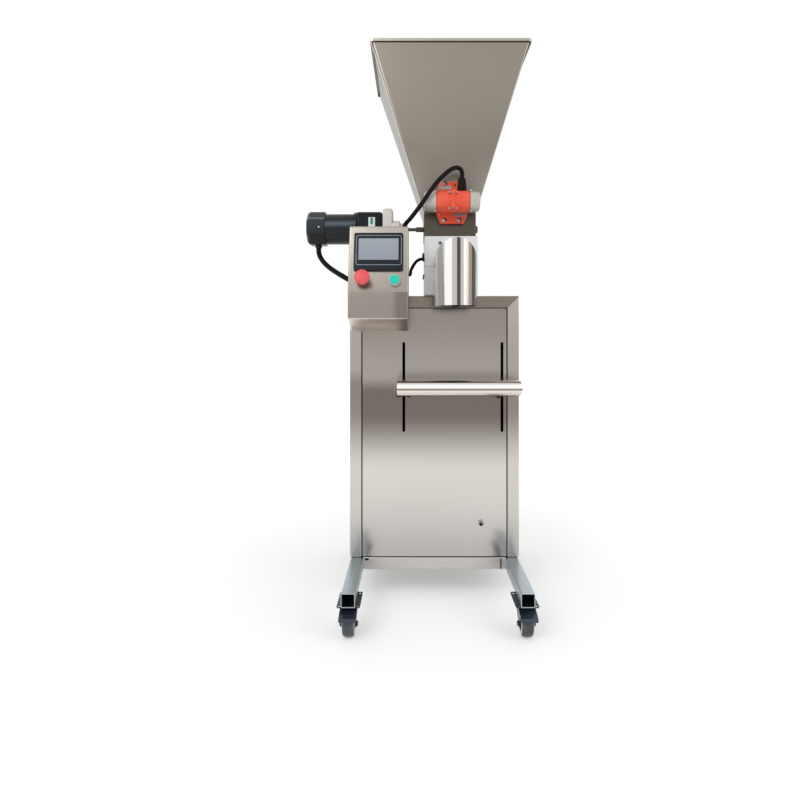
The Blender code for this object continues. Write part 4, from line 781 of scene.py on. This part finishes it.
def bolts(name, centres, normal, radius, height, finish, body, sides=6):
    """Bolt or screw heads with a chamfer, on a face with a normal."""
    shape = bmesh.new()
    for centre in centres:
        matrix = stand(centre, normal)
        edge = radius * 0.14
        profile = [(0, height), (radius - edge, height), (radius, height - edge), (radius, -edge), (0, -edge)]
        turn_into(shape, profile, matrix, sides)
    return add_piece(name, shape, finish, body)


def slab(name, outline, matrix, thickness, finish, body, edge=0.0003):
    """A flat outline in a matrix's own x and y, raised along its z, with a softened rim."""
    shape = bmesh.new()
    lower = [shape.verts.new(matrix @ Vector((x, y, 0))) for x, y in outline]
    face = shape.faces.new(lower)
    raised = bmesh.ops.extrude_face_region(shape, geom=[face])
    lift = matrix.to_3x3() @ Vector((0, 0, thickness))
    top = [v for v in raised["geom"] if isinstance(v, bmesh.types.BMVert)]
    bmesh.ops.translate(shape, vec=lift, verts=top)
    bmesh.ops.recalc_face_normals(shape, faces=shape.faces)
    piece = add_piece(name, shape, finish, body)
    if edge:
        soft = piece.modifiers.new("soft rim", "BEVEL")
        soft.width = edge
        soft.segments = 2
        soft.limit_method = "ANGLE"
    return piece


def rounded(width, height, radius, steps=4):
    """The outline of a rectangle with round corners."""
    points = []
    for sx, sy, start in ((1, 1, 0), (-1, 1, 90), (-1, -1, 180), (1, -1, 270)):
        for k in range(steps + 1):
            angle = math.radians(start + 90 * k / steps)
            points.append((sx * (width / 2 - radius) + radius * math.cos(angle),
                           sy * (height / 2 - radius) + radius * math.sin(angle)))
    return points


print("helpers ready")

# %% [markdown]
# ## Wheels
#
# The model's wheels are coarse turned shapes. At the photograph's distance a caster shows its round
# tread, a paler hub with a raised rim, and an axle nut. A finer turned wheel stands for each of them,
# on the same axle and inside the same width.

# %% Fine wheels
wheel_profile = [(0.0046, 0.0152), (0.0085, 0.0152), (0.0092, 0.0128), (0.0165, 0.0122), (0.0180, 0.0150),
                 (0.0245, 0.0150), (0.0280, 0.0138), (0.0303, 0.0108), (0.0313, 0.0060), (0.0315, 0.0)]
wheel_profile = wheel_profile + [(radius, -height) for radius, height in reversed(wheel_profile[:-1])]
rim_profile = [(0.0180, 0.0148), (0.0186, 0.0158), (0.0232, 0.0158), (0.0240, 0.0148), (0.0180, 0.0148)]
for corner in corners:
    low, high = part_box(corner + "_wheel")
    middle = (low + high) / 2
    matrix = stand(middle, (1, 0, 0))
    shape = bmesh.new()
    turn_into(shape, wheel_profile + wheel_profile[:1], matrix, 64)
    wheel = add_piece(corner + "_tyre", shape, tread_rubber, corner + "_wheel")
    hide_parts(corner + "_wheel")
    shape = bmesh.new()
    for side in (1, -1):
        turn_into(shape, rim_profile, stand(middle, (side, 0, 0)), 64)
    add_piece(corner + "_rims", shape, label_white, corner + "_wheel")
    fork_low, fork_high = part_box(corner + "_fork")
    shape = bmesh.new()
    for edge, side in ((fork_high.x, 1), (fork_low.x, -1)):
        turn_into(shape, [(0, 0.0022), (0.0040, 0.0020), (0.0044, 0.0012), (0.0062, 0.0010), (0.0062,
                                                                                              -0.0006),
                          (0, -0.0006)], stand((edge, middle.y, middle.z), (side, 0, 0)), 24)
    add_piece(corner + "_nuts", shape, bolt_steel, corner + "_swivel")
print("wheels are", round((high.z - low.z) * 1000), "mm")

# %% [markdown]
# ## The elbow chute
#
# The elbow is two lengths of the same tube cut at 45 degrees and welded. Rings of points follow the
# tube: the cut end, the mitre and the outlet. Inner and outer rings are made together, so that the
# wall's thickness shows at the outlet, and a hair-thin bead marks the weld.

# %% Fine chute
chute_wall = 0.0015
mouth_y = chute_high.y
axis_y = chute_low.y + chute_radius
axis_z = chute_high.z - chute_radius
chute_sides = 96


def chute_ring(radius, where):
    """One ring of the elbow at its mouth, its mitre or its outlet."""
    ring = []
    for k in range(chute_sides):
        angle = 2 * math.pi * k / chute_sides
        across = radius * math.cos(angle)
        rise = radius * math.sin(angle)
        if where == "mouth":
            point = (chute_middle + across, mouth_y, axis_z + rise)
        elif where == "mitre":
            point = (chute_middle + across, axis_y - rise, axis_z + rise)
        else:
            point = (chute_middle + across, axis_y - rise, chute_low.z)
        ring.append(point)
    return ring


shape = bmesh.new()
inner_radius = chute_radius - chute_wall
rings = [[shape.verts.new(point) for point in chute_ring(radius, where)]
         for radius, where in ((chute_radius, "mouth"), (chute_radius, "mitre"), (chute_radius, "outlet"),
                               (inner_radius, "outlet"), (inner_radius, "mitre"), (inner_radius, "mouth"))]
for first, second in zip(rings, rings[1:] + rings[:1]):
    for k in range(chute_sides):
        j = (k + 1) % chute_sides
        shape.faces.new((first[k], first[j], second[j], second[k]))
bmesh.ops.recalc_face_normals(shape, faces=shape.faces)
elbow = add_piece("elbow", shape, chute_steel, "machine", 30)
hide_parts("chute")
print("elbow has", len(elbow.data.polygons), "faces")

# %% [markdown]
# ## Stop and start buttons
#
# The buttons stand on a face that leans back. Their profiles repeat the model's, turned with more
# sides, because a round red head is the first thing an eye goes to. The stop head is a low dome, and the
# start cap has a slight dish.

# %% Fine buttons
for joint in frame["joints"]:
    if joint["name"] == "stop_twist":
        stop_centre = Vector(joint["pos_m"])
        face_out = -Vector(joint["axis"])
print("face leans back", round(math.degrees(math.asin(face_out.z)), 1), "degrees")

stop_matrix = stand(stop_centre, face_out)
start_low, start_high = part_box("start_ring")
across_face = (start_low.x + start_high.x) / 2 - stop_centre.x
start_matrix = Matrix.Translation((across_face, 0, 0)) @ stop_matrix

stop_head = turned("stop_cap", [(0, 0.0400), (0.0080, 0.0398), (0.0138, 0.0389), (0.0176, 0.0366),
                                (0.0194, 0.0338), (0.0200, 0.0310), (0.0199, 0.0268), (0.0187, 0.0222),
                                (0.0090, 0.0220), (0.0088, 0.0273), (0, 0.0273)],
                   stop_matrix, stop_plastic, "stop_head", 64)
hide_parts("stop_head")
stop_collar = turned("stop_collar", [(0.0088, 0.0130), (0.0150, 0.0130), (0.0164, 0.0110), (0.0170, 0.0080),
                                     (0.0170, 0.0003), (0.0109, 0.0003), (0.0109, -0.0130),
                                     (0.0088, -0.0130), (0.0088, 0.0130)], stop_matrix, stop_painted_shade,
                                     "machine", 64)
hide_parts("stop_ring")
start_cap = turned("start_cap", [(0, 0.0138), (0.0070, 0.0141), (0.0104, 0.0145), (0.0118, 0.0143),
                                 (0.0122, 0.0134), (0.0122, 0.0053), (0.0086, 0.0053), (0.0086, -0.0070),
                                 (0, -0.0070)], start_matrix, start_plastic, "start_button", 64)
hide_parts("start_button")
start_rim = turned("start_rim", [(0.0125, 0.0120), (0.0131, 0.0125), (0.0141, 0.0125), (0.0148, 0.0112),
                                 (0.0148, 0.0003), (0.0109, 0.0003), (0.0109, -0.0125), (0, -0.0125),
                                 (0, -0.0105), (0.0092, -0.0105), (0.0092, 0.0020), (0.0125, 0.0020),
                                 (0.0125, 0.0120)], start_matrix, start_pale, "machine", 64)
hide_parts("start_ring")

# %% [markdown]
# ## The screen's silver line
#
# A fine silver line runs round the touch panel, just inside the bezel's rim. It lies on the face that
# leans back, so the next helper measures on that face: across, up, and out of it.

# %% Silver line, and painted shade round and behind the panel
face_up = face_out.cross(Vector((1, 0, 0))).normalized()
face_up = face_up if face_up.z > 0 else -face_up
face_origin = spot(-0.1538, -0.2030, 0.8814)


def on_face(across, up, out):
    """A point measured on the control box's leaning face."""
    return face_origin + Vector((across, 0, 0)) + face_up * up + face_out * out


def ring(name, outer, inner, matrix, thickness, finish, body):
    """A flat ring between two outlines with the same number of points."""
    shape = bmesh.new()
    lower = [[shape.verts.new(matrix @ Vector((x, y, 0))) for x, y in outline] for outline in (outer, inner)]
    upper = [[shape.verts.new(matrix @ Vector((x, y, thickness))) for x, y in outline]
             for outline in (inner, outer)]
    loops = lower + upper
    for first, second in zip(loops, loops[1:] + loops[:1]):
        for k in range(len(first)):
            j = (k + 1) % len(first)
            shape.faces.new((first[k], first[j], second[j], second[k]))
    bmesh.ops.recalc_face_normals(shape, faces=shape.faces)
    return add_piece(name, shape, finish, body)


silver = stand(on_face(0.0008, 0.1138, 0.0070), face_out)
ring("silver_line", rounded(0.1200, 0.0842, 0.0060), rounded(0.1170, 0.0812, 0.0045), silver, 0.0004,
     line_silver, "machine")
panel_middle = (panel_low.z + panel_high.z) / 2
panel_tall = panel_high.z - panel_low.z
behind_panel = stand(spot(0, 0.0030, panel_middle), (0, -1, 0))
# Painted shade: a dark ring behind the panel's edges darkens the gap round the panel.
ring("panel_gap_shade", rounded(0.4290, panel_tall + 0.0052, 0.002), rounded(0.4170, panel_tall - 0.012, 0.002),
     behind_panel, 0.0005, painted_shade_black, "machine")
# Painted shade: a dark sheet inside the cabinet darkens what shows through the panel's slots and gaps.
slab("cabinet_inside_shade", rounded(0.4200, 0.6900, 0.004), stand(spot(0, 0.3300, 0.5000), (0, -1, 0)), 0.004,
     painted_shade_black, "machine")
print("gap shade runs round", round(panel_tall, 3), "m of panel")

# %% [markdown]
# ## Hardware on the vibrator
#
# The vibrator is bolted through its flange to the pad, and its caps are held by small screws. Each bolt
# sits in a round seat that is painted dark as painted shade. Two bare plates, without any text, stand
# where the maker's rating plates were.

# %% Vibrator bolts, plates and seats
toward_front = (0, -1, 0)
flange_face = -0.0630
flange_bolts = [(0.0246, 1.1966), (0.0229, 1.0936), (0.0651, 1.0936)]
# Painted shade: a dark disc behind each flange bolt, set a little up and to the right.
shape = bmesh.new()
for across, up in flange_bolts:
    turn_into(shape, [(0, 0.0004), (0.0064, 0.0004), (0.0066, -0.0002), (0, -0.0002)],
              stand(spot(across + 0.0024, flange_face, up + 0.0016), toward_front), 24)
add_piece("bolt_seats", shape, painted_shade_black, "machine")
bolts("flange_washers", [spot(across, flange_face - 0.0006, up) for across, up in flange_bolts], toward_front,
      0.0052, 0.0012, bolt_steel, "machine", 32)
bolts("flange_bolts", [spot(across, flange_face - 0.0016, up) for across, up in flange_bolts], toward_front,
      0.0036, 0.0040, bolt_steel, "machine")
# Painted shade in the flange bolts' sockets.
bolts("flange_sockets", [spot(across, flange_face - 0.0052, up) for across, up in flange_bolts], toward_front,
      0.0016, 0.0005, painted_shade_black, "machine")

lug_bolts = [(0.0372, -0.1180, 1.1582, 0.61), (0.0571, -0.1180, 1.1582, 0.61),
             (0.0368, -0.1166, 1.1196, -0.61), (0.0567, -0.1166, 1.1196, -0.61)]
for number, (across, back, up, lift) in enumerate(lug_bolts):
    bolts("lug_bolt_" + str(number), [spot(across, back, up)], (0, -0.79, lift), 0.0036, 0.0040, bolt_steel,
          "machine")
    # Painted shade: a darker orange seat under each lug bolt.
    bolts("lug_seat_" + str(number), [spot(across, back, up)], (0, -0.79, lift), 0.0048, 0.0008, orange_painted_shade,
          "machine", 24)
cap_screws = [(0.0002, -0.1142, 1.1640, -1), (0.0002, -0.1096, 1.1118, -1),
              (0.0939, -0.1142, 1.1660, 1), (0.0939, -0.1096, 1.1122, 1)]
for number, (across, back, up, side) in enumerate(cap_screws):
    bolts("cap_screw_" + str(number), [spot(across, back, up)], (side, 0, 0), 0.0036, 0.0046, bolt_steel,
          "machine", 24)
# Painted shade: a dark disc stands for a hole in the flange.
bolts("flange_hole", [spot(0.0566, flange_face, 1.1940)], toward_front, 0.0028, 0.0003, painted_shade_black,
      "machine", 24)
bolts("flange_rivet", [spot(0.0105, flange_face, 1.1104)], toward_front, 0.0016, 0.0012, label_white,
      "machine", 16)
slab("upper_plate", rounded(0.0345, 0.0098, 0.001), stand(spot(0.0282, flange_face, 1.1864), toward_front),
     0.0008, bare_plate, "machine")
slab("lower_plate", rounded(0.0362, 0.0125, 0.003), stand(spot(0.0688, flange_face, 1.1112), toward_front),
     0.0008, bare_plate, "machine")
slab("body_rib", rounded(0.0120, 0.0300, 0.002), stand(spot(0.0466, -0.1243, 1.1400), toward_front), 0.0016,
     orange_paint, "machine", 0.0006)
shape = bmesh.new()
for height in (0.0205, 0.0245, 0.0285):
    turn_into(shape, [(0.0068, height - 0.001), (0.0098, height - 0.0006), (0.0098, height + 0.0006),
                      (0.0068, height + 0.001)], stand(spot(relief_x, relief_y, relief_low.z), (0, 0, 1)), 32)
add_piece("relief_ribs", shape, rubber, "machine")
print(len(flange_bolts) + len(lug_bolts) + len(cap_screws), "screws on the vibrator")

# %% [markdown]
# ## Small parts of the drive, the housing and the cabinet
#
# A plain white label with a green bar marks the gearbox. A screw shows in a seat on the fan cover that
# is painted dark as painted shade, a sensor sits in the housing's side where its cable ends, and a socket
# for the foot switch shows its mouth as a disc painted dark as painted shade. Two small dark slabs sit
# low on the front. A thin bright line follows the fold of the hopper, where the sheet turns from the
# front to the side.

# %% Drive, housing and cabinet parts
slab("gearbox_label", rounded(0.0195, 0.0300, 0.0008), stand(spot(-0.1848, 0.0090, 1.1028), toward_front),
     0.0003, label_white, "machine", 0)
slab("label_bar", rounded(0.0074, 0.0200, 0.0006), stand(spot(-0.1848, 0.0087, 1.1066), toward_front),
     0.0003, label_green, "machine", 0)
# Painted shade: the fan cover's screw sits in a dark disc.
bolts("cover_seat", [spot(-0.3416, 0.0056, 1.0894)], toward_front, 0.0050, 0.0003, painted_shade_black, "machine", 24)
bolts("cover_screw", [spot(-0.3405, 0.0050, 1.0888)], toward_front, 0.0024, 0.0012, label_white, "machine",
      16)
bolts("gearbox_screws", [spot(-0.1600, 0.0090, 1.1278), spot(-0.2262, 0.0090, 1.1278)], toward_front, 0.0022,
      0.0015, dark_bolt, "machine", 16)
bolts("housing_bolts", [spot(0.0146, -0.0480, 1.0330), spot(0.0934, -0.0480, 1.0330),
                        spot(0.0146, -0.0480, 0.9080), spot(0.0934, -0.0480, 0.9080)], toward_front, 0.0045,
      0.0040, dark_bolt, "machine")
bolts("housing_side_bolts", [spot(-0.0300, 0.0060, 0.9440), spot(-0.0300, 0.0700, 0.9440)], (-1, 0, 0),
      0.0046,
      0.0036, painted_shade_black, "machine")
turned("sensor_disc", [(0, 0.0062), (0.0080, 0.0062), (0.0090, 0.0054), (0.0118, 0.0050), (0.0125, 0.0042),
                       (0.0125, -0.0001), (0, -0.0001)], stand(spot(-0.0300, 0.0060, 0.9990), (-1, 0, 0)),
       black_plastic, "machine", 40)
socket_low, socket_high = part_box("foot_socket")
socket_middle = (socket_low + socket_high) / 2
socket_middle.y = socket_low.y
# Painted shade: the socket's mouth is a dark disc.
bolts("socket_mouth", [socket_middle], toward_front, 0.0066, 0.0004, painted_shade_black, "machine", 24)
bolts("socket_key", [socket_middle + Vector((0.0016, 0, 0.0020))], toward_front, 0.0016, 0.0008, bolt_steel,
      "machine", 12)
# Two small dark slabs low on the front, one each side.
slab("rail_dark_mark_right", rounded(0.0050, 0.0300, 0.0005), stand(spot(0.1945, 0, 0.1000), toward_front), 0.0006,
     dark_bolt, "machine")
slab("rail_dark_mark_left", rounded(0.0110, 0.0060, 0.0005), stand(spot(-0.1985, 0, 0.1128), toward_front), 0.0006,
     painted_shade_black, "machine")


def strip(name, points, radius, finish, body):
    """A thin round bead along straight lines between points."""
    bead = round_line(name, points, radius, 2, finish)
    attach(bead, body)


strip("upper_ridge", [spot(0.0020, -0.1160, 1.1606), spot(0.0920, -0.1160, 1.1606)], 0.0014, orange_paint,
      "machine")
strip("lower_ridge", [spot(0.0020, -0.1188, 1.1222), spot(0.0920, -0.1188, 1.1222)], 0.0014, orange_paint,
      "machine")
strip("hopper_fold", [spot(-0.1822, -0.0712, 1.5970), spot(-0.0316, -0.0476, 1.1190)], 0.0009, weld_bright,
      "machine")
print("small parts in place")

# %% [markdown]
# ## Floor, white surroundings and soft light
#
# The photograph is cut out on white, with a soft shadow under the casters. The floor is a pale, matt
# plane. To camera and mirror rays it also glows a little, just enough that the lit floor meets the
# white of the surroundings, while the shadow stays. The surroundings are white to the same rays, and a
# little dimmer as a light, with two large soft lamps to round the shapes.

# %% Floor and surroundings
floor_mesh = bpy.data.meshes.new("floor")
shape = bmesh.new()
bmesh.ops.create_grid(shape, x_segments=1, y_segments=1, size=30)
shape.to_mesh(floor_mesh)
shape.free()
floor = bpy.data.objects.new("floor", floor_mesh)
bpy.context.scene.collection.objects.link(floor)
floor.location = (0, 0, cad_low[2])

floor_finish = Finish("floor_white", (0.9, 0.9, 0.9), 0.9)
seen = floor_finish.add("ShaderNodeLightPath", output="Is Camera Ray")
mirrored = Value(floor_finish, seen.socket.node.outputs["Is Glossy Ray"])
passed = Value(floor_finish, seen.socket.node.outputs["Is Transmission Ray"])
plainly = (seen + mirrored + passed).above(0.5)
floor_x, floor_y, _ = floor_finish.axes()
away = ((floor_x * floor_x) + (floor_y + 0.1) ** 2.0) ** 0.5
glow = floor_finish.blend(away.fade(0.3, 1.6), (0.30, 0.30, 0.30), (0.47, 0.47, 0.47))
floor_finish.set("Emission Color", floor_finish.blend(plainly, (0.0, 0.0, 0.0), glow))
floor_finish.set("Emission Strength", 1.0)
floor_mesh.materials.append(floor_finish.material)

world = bpy.data.worlds.new("white_room")
bpy.context.scene.world = world
world.use_nodes = True
tree = world.node_tree
sky = tree.nodes["Background"]
sky.inputs["Color"].default_value = (1, 1, 1, 1)
path = tree.nodes.new("ShaderNodeLightPath")
plain = None
for name in ("Is Camera Ray", "Is Glossy Ray", "Is Transmission Ray"):
    if plain is None:
        plain = path.outputs[name]
        continue
    adder = tree.nodes.new("ShaderNodeMath")
    adder.operation = "MAXIMUM"
    tree.links.new(plain, adder.inputs[0])
    tree.links.new(path.outputs[name], adder.inputs[1])
    plain = adder.outputs[0]
strength = tree.nodes.new("ShaderNodeMapRange")
strength.inputs["To Min"].default_value = 0.62
strength.inputs["To Max"].default_value = 1.0
tree.links.new(plain, strength.inputs["Value"])
tree.links.new(strength.outputs[0], sky.inputs["Strength"])


def soft_lamp(name, place, aim, size, power):
    """A large square lamp that points at a place on the machine."""
    data = bpy.data.lights.new(name, "AREA")
    data.shape = "RECTANGLE"
    data.size = size[0]
    data.size_y = size[1]
    data.energy = power
    lamp = bpy.data.objects.new(name, data)
    bpy.context.scene.collection.objects.link(lamp)
    lamp.location = place
    lamp.rotation_euler = (Vector(aim) - Vector(place)).to_track_quat("-Z", "Y").to_euler()
    return lamp


soft_lamp("key_lamp", spot(-1.6, -2.4, 2.6), spot(0, 0, 0.9), (1.8, 1.8), 30)
soft_lamp("fill_lamp", spot(2.2, -1.6, 1.8), spot(0, 0, 0.8), (1.4, 1.8), 12)
bpy.context.scene.view_settings.view_transform = "Standard"
print("lamps and floor in place")
